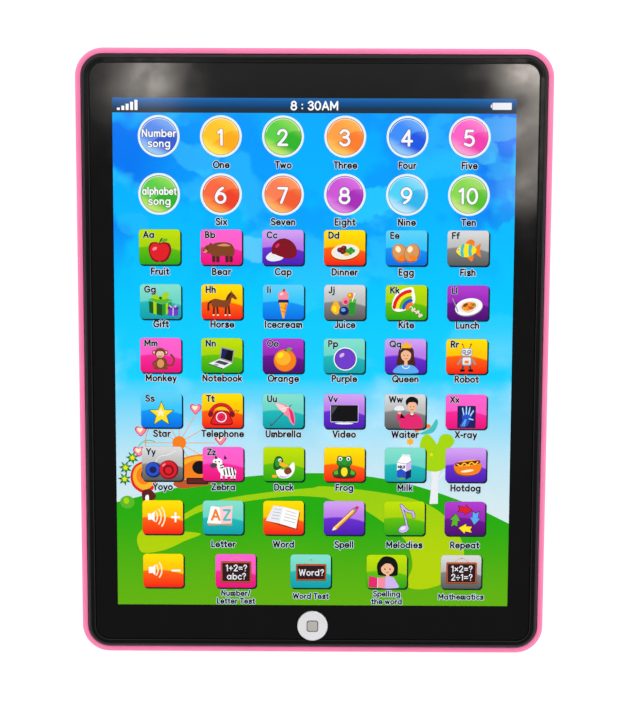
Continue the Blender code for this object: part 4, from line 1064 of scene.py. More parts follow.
    "Waiter": """
    blob rose -1.6,-6.6 -1.5,-3 0.6,-1.2 2.8,-0.9 5.2,-1.4 6.6,-3.4 6.4,-6.6
    line rose 1.6 -0.6,-2.4 -2.4,-3.2 -2.2,-1.2
    oval skin 0.7 -2.2,-0.4
    oval grey 2.7 0.5 -2.4,0.4
    blob soft_white -4.2,0.5 -3.6,1.9 -2.2,2.3 -0.9,1.9 -0.5,0.5
    card skin 1.2 1.6 0.3 2.7,-0.4
    oval skin 1.8 2.2 2.7,1.9
    blob black 0.7,2.4 0.2,4.2 1.6,5.7 3.4,5.8 5,4.6 4.8,2.4 4,3.6 1.6,3.6
    oval dark_brown 0.18 0.22 2.1,1.9 3.4,1.9
    arc dark_red 0.6 0.18 215 325 2.7,1.2
    poly white 2,-0.9 3.4,-0.9 2.7,-2.2
    poly dark_brown 2.2,-1.2 2.2,-2 3.2,-1.2 3.2,-2""",
    "X-ray": """
    card black 7.2 8.8 0.2 0.2,-2.1
    card navy 6.7 8.3 0.2 0.2,-2.1
    blob blue -2.4,-5.9 -1.4,-3.6 -1.6,-1.6 0.4,-0.2 2.2,-1 1.6,-3.4 0.2,-5.9
    line sky 0.6 -1.4,1.4 -0.9,-1.2
    line soft_white 0.22 -1.4,1.4 -0.9,-1.2
    line sky 0.6 0.1,2 0.1,-0.9
    line soft_white 0.22 0.1,2 0.1,-0.9
    line sky 0.6 1.5,1.6 1,-1
    line soft_white 0.22 1.5,1.6 1,-1
    line sky 0.6 2.9,0.4 1.7,-1.5
    line soft_white 0.22 2.9,0.4 1.7,-1.5
    line sky 0.6 2.7,-3.2 1.2,-2.8
    line soft_white 0.22 2.7,-3.2 1.2,-2.8
    line sky 0.5 -1.5,-5.6 -0.25,-3.2
    line sky 0.5 -0.7,-5.6 -0.01,-3.2""",
    "Yoyo": """
    line white 0.18 -4,-2.4 -1.5,2.5 2.2,3.6 5.4,5.2
    oval navy 3.2 -3.6,-2.5
    oval blue 2.7 -3.8,-2.3
    oval navy 1.4 -3.8,-2.5
    oval dark_red 3.9 2.5,-2.5
    oval red 3.4 2.3,-2.3
    oval dark_red 2.2 2.4,-2.6
    oval red 1.4 2.4,-2.7
    oval pink 0.8 0.4 40 0.6,-0.5""",
    "Zebra": """
    line soft_white 0.8 -0.6,-3.4 -0.6,-6
    oval black 0.45 0.3 -0.6,-6.2
    line soft_white 0.8 1.2,-3.4 1.2,-6
    oval black 0.45 0.3 1.2,-6.2
    line soft_white 0.8 3.4,-3.4 3.4,-6
    oval black 0.45 0.3 3.4,-6.2
    line soft_white 0.8 4.6,-3.4 4.6,-6
    oval black 0.45 0.3 4.6,-6.2
    oval white 3.2 1.9 2,-3.2
    line black 0.5 0.2,-1.7 0.7,-4.4
    line black 0.5 1.5,-1.7 2,-4.4
    line black 0.5 2.8,-1.7 3.3,-4.4
    line black 0.5 4.1,-1.7 4.6,-4.4
    blob white -3.2,1.6 -1.2,1.8 0.4,-1.8 -1.4,-3.4 -2.4,-1
    oval white 1.9 1.6 -2.2,0.8
    oval dark_grey 1.4 1 20 -3.7,-0.6
    poly black -3.2,1.9 -3,3.5 -2.1,2.1
    poly black 0.4,1.9 0.6,3.5 1.5,2.1
    oval white 0.75 -2.9,1
    oval black 0.3 -2.9,0.9
    oval white 0.75 -1.5,1
    oval black 0.3 -1.5,0.9
    line black 0.4 -1,-0.6 0.2,-0.2
    line black 0.4 -1,-1.6 0,-1.4""",
    "Duck": """
    oval amber 1.1 0.6 -3.6,-4.9
    blob white -2.8,-1.4 -0.6,-2.2 1.6,-1.4 3.9,0.8 4.3,-2.4 2.4,-5.2 -1,-5.7 -2.8,-4
    blob lilac -1.6,-4.6 1,-4.9 3.2,-3.2 1,-5.4 -1.2,-5.4
    blob brown 0.4,-2 2.2,-1.2 3.2,-3 1.4,-4.2 0.2,-3.2
    blob dark_green -4,0.4 -3,2.9 -1,3 -0.2,1.2 -0.9,-1.2 -2.6,-2.4 -3.9,-1.8
    blob green -3.5,0.4 -2.8,2.3 -1.2,2.4 -0.8,1 -1.4,-0.6 -2.8,-1.2
    blob amber -1.4,0.9 0.8,0.2 2,-0.6 0.2,-1.2 -1.6,-0.4
    oval white 0.65 -1.5,1.6
    oval black 0.3 -1.4,1.5""",
    "Frog": """
    oval maroon 4.4 0.8 0,-5
    oval dark_green 1.9 1.3 30 -3,-3.4
    oval leaf 1.3 0.8 30 -3,-3.2
    oval dark_green 1.2 -1.7,2.3
    oval dark_green 1.9 1.3 -30 3,-3.4
    oval leaf 1.3 0.8 -30 3,-3.2
    oval dark_green 1.2 1.7,2.3
    oval dark_green 2.6 2.9 0,-2.4
    oval yellow 1.3 1.9 0,-2.9
    oval dark_green 3.1 2.2 0,0.9
    oval green 2.7 1.8 0,0.9
    oval white 0.8 -1.6,2.3
    oval black 0.4 -1.6,2.2
    oval white 0.8 1.6,2.3
    oval black 0.4 1.6,2.2
    arc dark_green 1.8 0.3 205 335 0,1.2""",
    "Milk": """
    poly soft_white -3.2,1 -1.2,1.6 -1.2,-6 -3.2,-5.2
    poly white -3.2,1 0.4,0.4 0.4,-6 -3.2,-5.2
    poly lilac 0.4,0.4 2.4,1.6 2.4,-5 0.4,-6
    poly white -3.2,1 -1.4,3.4 2,3.2 2.4,1.6 0.4,0.4
    poly soft_white -1.4,3.4 -1.2,4.3 2,4 2,3.2
    poly blue -3.2,-2.4 -1.6,-1.6 0.4,-2.8 0.4,-6 -3.2,-5.2
    poly navy 0.4,-2.8 2.4,-1.8 2.4,-5 0.4,-6
    line grey 0.18 -3.2,1 0.4,0.4 2.4,1.6
    lettering navy MILK 1.2 0.28 3.2 -1.4,-0.9
    oval leaf 1.4 0.4 -1.2,-5.6""",
    "Hotdog": """
    oval brown 5.6 3 8 0.9,-1.6
    blob amber -4.4,0.2 -1.6,1.6 3.2,2.2 5.6,1 5.2,-0.6 0.4,-0.8 -3.6,-0.9
    line dark_red 1.5 -3.6,0.2 0.8,0.7 5,1.2
    blob orange -4.7,-0.6 -3.4,-3.2 0.2,-4.2 4.6,-3.4 6.3,-0.8 5.4,0.4 1,-0.4 -2.8,-0.6
    line yellow 0.4 -3.4,0.4 -2,-0.4 -0.6,0.8 0.8,-0.1 2.2,1.1 3.6,0.3 4.8,1.3
    oval cream 2.6 0.5 8 0.6,-2.4""",
    "Louder": """
    card white 1.3 2.6 0.1 -5.2,0.2
    poly white -5.6,0.2 -3.2,2.4 -3.2,-2
    arc cream 3.5 0.55 -36 36 -5.6,0.2
    arc cream 5 0.55 -36 36 -5.6,0.2
    arc cream 6.5 0.55 -36 36 -5.6,0.2
    card white 3.6 0.75 0.1 5.1,0
    card white 0.75 4 0.1 5.1,0""",
    "Letter": """
    poly tan -6.2,-2.7 -0.4,-2.2 3.8,-2.6 3.4,-3.2 -0.6,-3 -6,-3.3
    poly white -4.8,4.6 -1.4,4.2 -0.8,-2.6 -6.4,-2.4
    poly pale_pink -1.4,4.2 3.8,4.8 3.4,-2.4 -0.8,-2.6
    lettering orange A 4.8 0.85 -3.1,1
    lettering teal Z 4.8 0.85 1.3,1""",
    "Word": """
    poly dark_red -7.2,-1.2 -1.6,-2.5 5.2,-4.5 6.4,2.4 6.6,2 5.4,-4.9 -1.6,-3
    poly soft_white -4,4.9 0,4.4 -1.6,-2.4 -7,-1.2
    poly white 0,4.4 6.2,2.8 5,-4.4 -1.6,-2.4
    line grey 0.16 -3.6,3.6 -0.9,3.2
    line grey 0.16 1,2.9 5.2,1.7
    line grey 0.16 -4,2.35 -1.2,1.95
    line grey 0.16 0.7,1.65 5,0.45
    line grey 0.16 -4.4,1.1 -1.5,0.7
    line grey 0.16 0.4,0.4 4.8,-0.8
    line grey 0.16 -4.8,-0.15 -1.8,-0.55
    line grey 0.16 0.1,-0.85 4.6,-2.05""",
    "Spell": """
    line brown 1.9 -3.4,-4.2 4.4,3.4
    line amber 1.3 -3.3,-4 4.4,3.5
    line cream 0.4 -3.2,-3.5 4.1,3.6
    poly cream -3.9,-3.5 -2.9,-4.6 -4.9,-5.3
    poly dark_grey -4.7,-4.9 -4.4,-5.2 -5.1,-5.5
    line grey 1.3 4.3,3.3 4.7,3.7
    line rose 1.2 4.9,3.9 5.3,4.3""",
    "Melodies": """
    line navy 0.95 1,-3 0.2,0.6 -1.2,4.6
    line navy 1.15 -1.2,4.8 1,2.7 3,2.2 3.4,0.4
    oval navy 2.075 1.475 20 -0.2,-4
    line lilac 0.6 1,-3 0.2,0.6 -1.2,4.6
    line lilac 0.8 -1.2,4.8 1,2.7 3,2.2 3.4,0.4
    oval lilac 1.9 1.3 20 -0.2,-4
    oval soft_white 1 0.6 20 -0.5,-3.7""",
    "Softer": """
    card white 1.3 2.6 0.1 -5.2,0.2
    poly white -5.6,0.2 -3.2,2.4 -3.2,-2
    arc cream 3.5 0.55 -36 36 -5.6,0.2
    arc cream 5 0.55 -36 36 -5.6,0.2
    card white 3.6 0.75 0.1 5.1,0""",
    "Spelling": """
    blob black -3.6,-0.4 -3.8,3 -1.4,6 2.2,5.8 4.2,3.4 4.4,-0.8 3.2,-1.8 -2.8,-1.6
    blob lilac -2.4,-6.6 -2,-3.4 0.2,-2 2.6,-2.4 3.8,-4.2 4.6,-6.6
    card skin 1.3 1.4 0.3 0.4,-1.6
    oval skin 2.6 2.5 0.3,1.2
    blob black -2.6,1.4 -2.2,3.8 0.4,4.8 2.8,3.6 3.2,1.2 1.6,3 -0.6,3.2
    oval dark_brown 0.28 0.35 -0.7,1 1.3,1
    arc dark_red 0.6 0.2 215 325 0.3,0.2
    poly rose -7,-1.8 -3.6,-2.6 -3.6,-6.6 -7.2,-6.4
    poly pink -3.6,-2.6 -0.6,-2.2 -0.6,-6.6 -3.6,-6.6
    line white 0.2 -3.6,-2.6 -3.6,-6.5""",
}


def draw_repeat(art):
    """Four block arrows chasing each other round."""
    arrow = points_of("-2.8,-1 -0.4,-0.9 -0.4,-1.9 2.4,0.1 -0.2,2.1 -0.3,1.1 -3,1.4 -2.2,0.2")
    places = (("red", 0.3, 3.4), ("sky", 3.9, -0.1), ("yellow", 0.0, -4.0), ("leaf", -3.7, -0.4))
    for (look, x, y), turn in zip(places, (-6, -96, 174, 84)):
        for shade, grow in (("slate", 1.14), (look, 1.0)):
            art.spun(shade, x, y, turn, [(a * grow, b * grow) for a, b in arrow])


def draw_board(art, lines):
    """A dark board in a wooden frame, hung from a cord."""
    x, y = 0.2, -0.5
    tall = 5.0 + 1.9 * len(lines)
    top = y + tall / 2
    nail = top + 1.7
    art.line("tan", 0.2, (x - 3.0, top), (x, nail), (x + 3.0, top))
    art.oval("grey", x, nail, 0.3)
    art.card("brown", x, y, 12.2, tall, 0.4)
    art.card("brick", x, y + 0.1, 11.8, tall - 0.5, 0.3)
    art.card("slate", x, y, 11.0, tall - 1.4, 0.2)
    for row, text in enumerate(lines):
        art.lettering("soft_white", x, y + (len(lines) - 1) * 1.7 - 3.4 * row, text, 2.9, 0.42, 9.8)


BOARDS = {"Number_test": ("1+2=?", "abc?"), "Word_test": ("Word?",), "Mathematics": ("1×2=?", "2÷1=?")}

# Letters, name and colour of each picture key, row by row.
PICTURE_KEYS = (
    "Aa Fruit lime, Bb Bear pink, Cc Cap violet, Dd Dinner fire, Ee Egg sky, Ff Fish silver",
    "Gg Gift teal, Hh Horse fire, Ii Icecream sky, Jj Juice silver, Kk Kite lime, Ll Lunch purple",
    "Mm Monkey pink, Nn Notebook lime, Oo Orange purple, Pp Purple teal, Qq Queen violet, Rr Robot fire",
    "Ss Star sky, Tt Telephone fire, Uu Umbrella teal, Vv Video violet, Ww Waiter silver, Xx X-ray pink",
    "Yy Yoyo silver, Zz Zebra pink, - Duck lime, - Frog fire, - Milk teal, - Hotdog violet",
    "- Louder fire, - Letter teal, - Word fire, - Spell violet, - Melodies lime, - Repeat purple",
)

# Name and colour of each bottom key, how far below its middle the label is, and the label's lines.
BOTTOM_KEYS = (
    ("Softer", "fire", 0.0, ()),
    ("Number_test", "pink", 9.1, ("Number/", "Letter Test")),
    ("Word_test", "teal", 10.2, ("Word Test",)),
    ("Spelling", "lime", 9.1, ("Spelling", "the word")),
    ("Mathematics", "silver", 10.2, ("Mathematics",)),
)
UNLABELLED = ("Louder", "Softer")
PICTURE_SCALES = {
    "Fruit": 1.12, "Bear": 1.12, "Cap": 1.14, "Egg": 1.1, "Icecream": 1.1, "Star": 1.05, "Melodies": 1.1,
}

# What each disc says, the name under it and its colour, row by row.
DISC_KEYS = (
    (("Number\nsong", "", "blue"), ("1", "One", "amber"), ("2", "Two", "green"), ("3", "Three", "orange"),
     ("4", "Four", "azure"), ("5", "Five", "pink")),
    (("alphabet\nsong", "", "green"), ("6", "Six", "ember"), ("7", "Seven", "coral"), ("8", "Eight", "plum"),
     ("9", "Nine", "cyan"), ("10", "Ten", "grass")),
)


def piece_name(kind, name):
    return kind + "_" + name.lower().replace("-", "_")


def column_x(column):
    return (column - 2.5) * COLUMN_PITCH


def tile_outline(grow=0.0):
    return rounded_rectangle(TILE_WIDTH + grow, TILE_HEIGHT + grow, TILE_CORNER + grow / 2, steps=8)


def tile_key(name, letters, color, centre):
    """One picture key: its shade, its two-tone tile, its picture and its letters."""
    shade = Print(piece_name("shade", name), centre, SHADE_LEVEL)
    shade.shape("shade", [(x + SHADE_OFFSET[0], y + SHADE_OFFSET[1]) for x, y in tile_outline(SHADE_GROW)])
    shade.done()
    tile = Print(piece_name("tile", name), centre, TILE_LEVEL)
    tile.shape(tile_print(color), tile_outline())
    tile.done()
    picture = Print(piece_name("print", name), centre, PRINT_LEVEL, PICTURE_SCALES.get(name, 1.0))
    if name in PICTURES:
        picture.draw(PICTURES[name])
    elif name in BOARDS:
        draw_board(picture, BOARDS[name])
    else:
        draw_repeat(picture)
    picture.scale = 1.0
    if letters:
        x, y = TILE_LETTER_MARGINS[0] - TILE_WIDTH / 2, TILE_HEIGHT / 2 - TILE_LETTER_MARGINS[1]
        picture.outlined(letters, x, y, TILE_LETTER_HEIGHT, rim=0.22, left=True)
    picture.done()


def label(name, lines, x, y, height=LABEL_HEIGHT):
    """The words under a key, squeezed where they would be too long."""
    made = Print(piece_name("label", name), (x, y), SHADE_LEVEL)
    for row, text in enumerate(lines):
        made.outlined(text, 0, -LABEL_LINE_DROP * row, height, LABEL_WIDTH)
    made.done()


def disc_key(caption, label_text, color, centre):
    """One number or song key: a glossy disc, its rings, and its figure or words."""
    name = label_text or caption.split()[0]
    disc = Print(piece_name("disc", name), centre, TILE_LEVEL)
    disc.oval(disc_print(color), 0, 0, BALL_RADIUS, sides=64)
    disc.done()
    marks = Print(piece_name("print", name), centre, PRINT_LEVEL)
    marks.ring(edge_ink(color), 0, 0, DISC_RADIUS - 0.9, 0.3, 64)
    marks.ring("ring_white", 0, 0, DISC_RADIUS - 0.45, 0.9, 64)
    marks.arc("soft_white", 0, 0, BALL_RADIUS - 0.75, 0.18, 20, 165)
    if "\n" in caption:
        for row, text in enumerate(caption.split("\n")):
            for look, width in ((edge_ink(color), 0.8), ("white", 0.5)):
                marks.lettering(look, 0, 1.2 - 3.9 * row, text, 3.3, width, 13.2)
            marks.level -= 2
    else:
        for look, width in ((edge_ink(color), 1.42), ("figure_white", 1.04)):
            marks.lettering(look, *FIGURE_SPOT, caption, FIGURE_HEIGHT, width)
    marks.done()


def keys():
    for row, discs in enumerate(DISC_KEYS):
        for column, (caption, label_text, color) in enumerate(discs):
            x = column_x(column)
            disc_key(caption, label_text, color, (x, DISC_ROWS[row]))
            if label_text:
                label(label_text, [label_text], x, DISC_LABEL_ROWS[row])
    for row, tiles in enumerate(PICTURE_KEYS):
        for column, tile in enumerate(tiles.split(", ")):
            letters, name, color = tile.split()
            x, y = column_x(column) + TILE_ROW_SHIFT[row], TILE_ROWS[row]
            tile_key(name, letters.strip("-"), color, (x, y))
            if name not in UNLABELLED:
                label(name, [name], x, y - TILE_LABEL_DROPS[row])
    for x, (name, color, drop, lines) in zip(BOTTOM_COLUMNS, BOTTOM_KEYS):
        tile_key(name, "", color, (x, TILE_ROWS[-1]))
        if lines:
            label(name, lines, x, TILE_ROWS[-1] - drop, BOTTOM_LABEL_HEIGHT)


# ---- the scene behind the keys ----

HILL_CREST = "-50,-51.6 -22,-47.4 8,-46.4 34,-49.6 58,-57"
LANES = (
    "2,-51.6 27,-54 43.4,-57.8 54,-65 60.3,-76.8 57,-88 45.6,-93.2 37.4,-92 39.8,-84.4 38.4,-76.8 34.7,-71.3"
    " 19.5,-60.6 5.5,-56.4",
    "8,-52 -8,-53 -28.2,-55.6 -43.5,-58.9 -51.6,-63.2 -60,-66.4 -67.7,-69.4 -70,-72.6 -69.6,-76.4 -67.3,-79"
    " -58.8,-77.7 -51.1,-74.1 -44.6,-71.2 -51.6,-70.2 -57,-69.6 -51,-65.4 -43.5,-61.8 -28,-58.1 -8,-55.6"
    " 8,-56",
)


def wheel(art):
    """A toy wheel's spokes, its hub and the hearts round it."""
    for step in range(12):
        turn = radians(30 * step)
        art.line("wheel", 0.28, (0, 0), (14 * cos(turn), 14 * sin(turn)))
        art.level -= 1
    art.level += 1
    art.arc("orange", 0, 0, 13.4, 0.3, 150, 205)
    art.arc("leaf", -12, -3.5, 4.5, 0.3, 60, 160)
    art.oval("orange", 0, 0, 2.7)
    hearts = ((6.6, 13.8), (-15.2, 4.8), (-16.0, -3.4), (16.4, 1.4), (-8.6, 13.0), (13.4, -8.6))
    for look, size, shift in (("rose", 2.3, 0.0), ("pink", 1.9, 0.0), ("cream", 1.1, -0.3)):
        for x, y in hearts:
            art.heart(look, x + shift, y - shift, size)
            art.level -= 1
        art.level += 1


def flowers(art):
    art.draw("""
    blob red 1.6,3.4 -2.6,1.6 -4.4,-2.4 -3.4,-7 0.6,-9.6 4.6,-8 6,-2 4.6,2.6
    blob amber 1.4,2.6 -2.2,0.8 -3.5,-2.6 -2.6,-6.2 0.8,-8.4 4.4,-6.4 5.4,-2 4.2,1.8
    oval orange 2.9 3.6 0.8,-2.6
    oval black 1.6 2.2 1.4,-2.2""")
    for x, y in ((-6.4, 0.6), (-3.6, 4.6), (-6.8, -4.0)):
        art.star("dark_green", x, y, 2.8, 1.2, 7, 20)
        art.star("leaf", x, y, 1.9, 1.0, 6, 10)
        art.star("yellow", x, y, 1.1, 0.6, 5)
        art.level -= 3
    art.level += 3
    art.draw("""
    oval leaf 2.9 2.6 -5.8,-13.4
    oval lime 1.1 1.3 -6.2,-12.8
    blob maroon 0.2,-9 3.2,-8.2 5.6,-11 2.8,-13.6 0.6,-13
    blob white 1.4,-11 2.6,-10.4 2.8,-12.6 1.6,-13.2""")


# Name, middle, layer and marks of what stands in the scene, or the function that draws it.
BACKDROP = (
    ("wheel", (-53, -34.3), SCENERY_LEVEL, wheel),
    ("house", (-46.5, -44.5), SCENERY_LEVEL + 2, """
    blob orange -6,3.4 0,5.4 7,5 8,0 7,-4.6 -5.6,-4.2 -6.6,0
    blob amber -5.2,3 0,4.8 6,4.4 6.6,2.6 0,3.2 -4.8,1.4
    oval black 3 2.7 1.6,0.3
    blob brick -9,-6.4 -6,-4.8 2,-4.8 6,-6.4 0,-7.6 -6,-8.2
    card slate 8.6 2.6 0.5 0.6,-5.2
    card maroon 7.6 1.6 0.3 0.6,-5.2"""),
    ("flowers", (-68.0, -45.0), SCENERY_LEVEL + 2, flowers),
    ("tree", (48.5, -46), SCENERY_LEVEL + 2, """
    poly soft_white -2.2,-12.6 -1.3,-3 -2,3 -0.9,3 0,0 1,3 2.2,3 1.1,-3 1.2,-12.4
    line soft_white 0.5 0.6,-4 2.8,-0.6 4.6,0.8
    blob lime -4.4,2 -6.2,7 -5.8,13.2 -3.4,15.6 -0.8,13.4 0.6,11.6 2.2,15.2 5.6,15.4 7.4,12.6 5.4,9.4
      5.2,4.4 2.6,1.2 -1.4,0.6
    blob path -4.6,6 -4.4,12 -3,13.6 -2.2,9 -3,4
    star yellow 0.9 0.4 -1.6,7.4"""),
    ("far_kite", (44, -28), SCENERY_LEVEL, """
    blob teal -2,-2.4 3.2,-1.8 5.2,1.6 4.6,3.6 2.2,0.2
    blob orange -3.6,-1.6 -0.6,-0.6 2.4,0.4 1.4,1.6 -3.4,0.4
    star amber 1.6 1.1 6 -5.6,-5.4"""),
)


def sky():
    made = Print("sky", (0, 0), 1)
    middle_y = (ART_HIGH + ART_LOW) / 2
    made.shape(sky_print(), rectangle(2 * ART_HALF_WIDTH, ART_HIGH - ART_LOW, (0, middle_y)))
    made.done()


SIGNAL_X, SIGNAL_FOOT = -75.6, -1.9
SIGNAL_PITCH, SIGNAL_WIDTH, SIGNAL_RISE = 1.7, 1.15, 0.75


def status_line():
    """A dark blue line with five signal bars, the time and a charged cell."""
    line = Print("status_bar", (0, (STATUS_LOW + ART_HIGH) / 2), SCENERY_LEVEL)
    line.shape(status_print(), rectangle(2 * ART_HALF_WIDTH, ART_HIGH - STATUS_LOW))
    for bar in range(5):
        tall = 0.9 + SIGNAL_RISE * bar
        x = SIGNAL_X + SIGNAL_PITCH * bar
        line.card("white", x, SIGNAL_FOOT + tall / 2, SIGNAL_WIDTH, tall, 0.1)
        line.level -= 1
    line.level += 1
    line.lettering("white", 0, 0, "8 : 30AM", 3.7, 0.62)
    line.card("soft_white", 72.4, 0, 7.4, 2.7, 0.3)
    line.card("soft_white", 68.3, 0, 0.5, 1.2, 0.1)
    line.done()


def hill():
    """The green hill and the paler lanes that wind over it."""
    left, right = -ART_HALF_WIDTH, ART_HALF_WIDTH
    crest = smooth_path([(left, -58.4), *points_of(HILL_CREST), (right, -66.4)], 10)
    slope = Print("hill", (0, 0), SCENERY_LEVEL)
    grass = meadow_print("hill_print", (96, 176, 8), (34, 168, 10), ART_LOW, -60)
    slope.shape(grass, [*crest, (right, ART_LOW), (left, ART_LOW)])
    slope.done()
    path = Print("path", (0, 0), SCENERY_LEVEL + 1)
    meadow = meadow_print("path_print", (176, 208, 0), (150, 204, 10), -80, -50)
    for lane in LANES:
        path.blob(meadow, *points_of(lane))
    path.done()


def scenery():
    """Everything behind the keys, from the sky forwards."""
    sky()
    status_line()
    hill()
    for name, centre, level, drawing in BACKDROP:
        part = Print(name, centre, level)
        if callable(drawing):
            drawing(part)
        else:
            part.draw(drawing)
        part.done()


# ---- shells ----

PAST = 1 * MM  # how far a cutting or a joined solid runs past a surface
EDGE_STEPS = 8
WALL = 2.3 * MM
FLOOR = 2.2 * MM
REAR_EDGE_INSET = 2.4 * MM
REAR_EDGE_HEIGHT = 4.0 * MM
LIP_ROUND = 0.9 * MM
LIP_EDGE = 0.2 * MM
BAY_LENGTH = 46.4 * MM
BAY_CEILING = 17.2 * MM
BAY_WALL = 2.5 * MM
BAY_ROOF = 1.2 * MM
SEAT_LEDGE = 1.3 * MM
SEAT_DEPTH = 2.3 * MM
SCREW_POST = 4.7 * MM
SCREW_POST_TOP = 12 * MM
SCREW_WELL = 3.4 * MM
SCREW_WELL_TOP = 8 * MM
SPEAKER_HOLE = 0.9 * MM
SPEAKER_HOLE_PITCH = 3.6 * MM
SWITCH_WINDOW = (4.3 * MM, 2.3 * MM)
DOOR_BLOCK_HALF, DOOR_BLOCK_TOP = 9 * MM, 9 * MM
DOOR_BLOCK_BACK, DOOR_BLOCK_AHEAD = 11 * MM, 3 * MM
DOOR_SHAFT_LOW, DOOR_SHAFT_TOP = 3 * MM, 7.5 * MM
HOOKS_X = (-18 * MM, 18 * MM)
HOOK_HALF = 4 * MM
HOOK_TOP = 4 * MM
HOOK_SLOT_TOP = 5.8 * MM
TONGUE_TOP = 3.6 * MM
TONGUE_HALF = 6.5 * MM


def rear_shell():
    """The pink back with its round edges, battery box, screw wells, speaker holes and switch window."""
    levels = []
    for falling, rising in quarter_turn(EDGE_STEPS):
        levels.append((outline_inset(REAR_EDGE_INSET * falling), REAR_EDGE_HEIGHT * rising))
    for falling, rising in quarter_turn(4):
        levels.append((outline_inset(LIP_ROUND * rising), REAR_LIP_Z - LIP_ROUND * falling))
    levels.append((outline_inset(WALL - LIP_EDGE), REAR_LIP_Z))
    levels += [(outline_inset(WALL), REAR_LIP_Z - LIP_EDGE), (outline_inset(WALL), FLOOR)]
    shell = solid("rear_shell", REAR_PLASTIC, levels)

    door_low, door_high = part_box("battery_door")
    tongue_end = door_high.y
    seat_width = door_high.x - door_low.x + 2 * GAP
    bay_width = seat_width - 2 * SEAT_LEDGE
    bay_box = rectangle(bay_width + 2 * BAY_WALL, BAY_LENGTH + 2 * BAY_WALL, BAY_MIDDLE)
    posts = [straight(circle(SCREW_POST, place), PAST, SCREW_POST_TOP) for place in SCREWS]
    carve(shell, straight(bay_box, PAST, BAY_CEILING + BAY_ROOF), *posts, join=True)
    block_low = (-DOOR_BLOCK_HALF, tongue_end - DOOR_BLOCK_BACK, PAST + 0.3 * MM)
    block_high = (DOOR_BLOCK_HALF, tongue_end + DOOR_BLOCK_AHEAD, DOOR_BLOCK_TOP)
    carve(shell, block(block_low, block_high), join=True)

    seat = rounded_rectangle(seat_width, BAY_LENGTH + 2 * SEAT_LEDGE, 0.6 * MM, BAY_MIDDLE, 4)
    bay = rounded_rectangle(bay_width, BAY_LENGTH, 0.5 * MM, BAY_MIDDLE, 4)
    openings = [[(seat, -PAST), (seat, SEAT_DEPTH), (bay, SEAT_DEPTH), (bay, BAY_CEILING)]]
    for place in SCREWS:
        mouth, well = circle(SCREW_WELL + 0.4 * MM, place), circle(SCREW_WELL, place)
        shaft = circle(SCREW_SHAFT, place)
        openings.append([(mouth, -PAST), (mouth, 0.0), (well, 0.4 * MM), (well, SCREW_WELL_TOP),
                         (shaft, SCREW_WELL_TOP), (shaft, SCREW_POST_TOP + PAST)])
    for place in grille_places(middle("speaker_frame")):
        mouth, hole = [circle(radius, place, 20) for radius in (SPEAKER_HOLE + 0.25 * MM, SPEAKER_HOLE)]
        openings.append([(mouth, -PAST), (mouth, 0.0), (hole, 0.25 * MM), (hole, FLOOR + PAST)])
    switch_y, switch_z = middle("power_switch_body")[1:]
    half_y, half_z = SWITCH_WINDOW
    openings.append(block((WIDTH / 2 - WALL - PAST, switch_y - half_y, switch_z - half_z),
                          (WIDTH / 2 + PAST, switch_y + half_y, switch_z + half_z)))
    carve(shell, *openings)

    notch = TONGUE_HALF + GAP
    notch_low = (-notch, BAY_MIDDLE[1] + BAY_LENGTH / 2 - 0.4 * MM, -PAST)
    cuts = [block(notch_low, (notch, tongue_end + GAP, TONGUE_TOP + GAP))]
    hook_y = BAY_MIDDLE[1] - BAY_LENGTH / 2 - BAY_WALL - PAST
    hook_end = hook_y + BAY_WALL + 1.5 * PAST
    slot_half = HOOK_HALF + GAP
    for x in HOOKS_X:
        slot_low = (x - slot_half, hook_y, FLOOR - 0.1 * MM)
        cuts.append(block(slot_low, (x + slot_half, hook_end, HOOK_SLOT_TOP)))
    carve(shell, *cuts)
    carve(shell, straight(circle(SCREW_SHAFT, DOOR_SCREW_XY), DOOR_SHAFT_LOW, DOOR_SHAFT_TOP))
    shell_finish(shell, "casing", "rear_casing")


def grille_places(centre):
    """The middles of the speaker holes: one, and four rings round it."""
    places = [tuple(centre[:2])]
    for ring in range(1, 5):
        for step in range(6 * ring):
            turn = 2 * pi * step / (6 * ring)
            reach = SPEAKER_HOLE_PITCH * ring
            places.append((centre[0] + reach * cos(turn), centre[1] + reach * sin(turn)))
    return places


RIM_INNER_INSET = FILM_INSET - GAP
RIM_ROUND = 1.3 * MM
RIM_EDGE = 0.3 * MM
SKIRT_LOW, SKIRT_HIGH = 16 * MM, 19.2 * MM
SKIRT_THICKNESS = 1.4 * MM
FRONT_POST = 3.6 * MM
FRONT_POST_LOW, FRONT_POST_TOP = 12.3 * MM, 20 * MM
FRONT_SHAFT_LOW, FRONT_SHAFT_TOP = 11 * MM, 18 * MM
BUTTON_HOLE_LOW = 15 * MM
BUTTON_HOLE = circle(BUTTON_RADIUS + GAP, BUTTON_XY, 64)
FILM_EDGE = 0.08 * MM


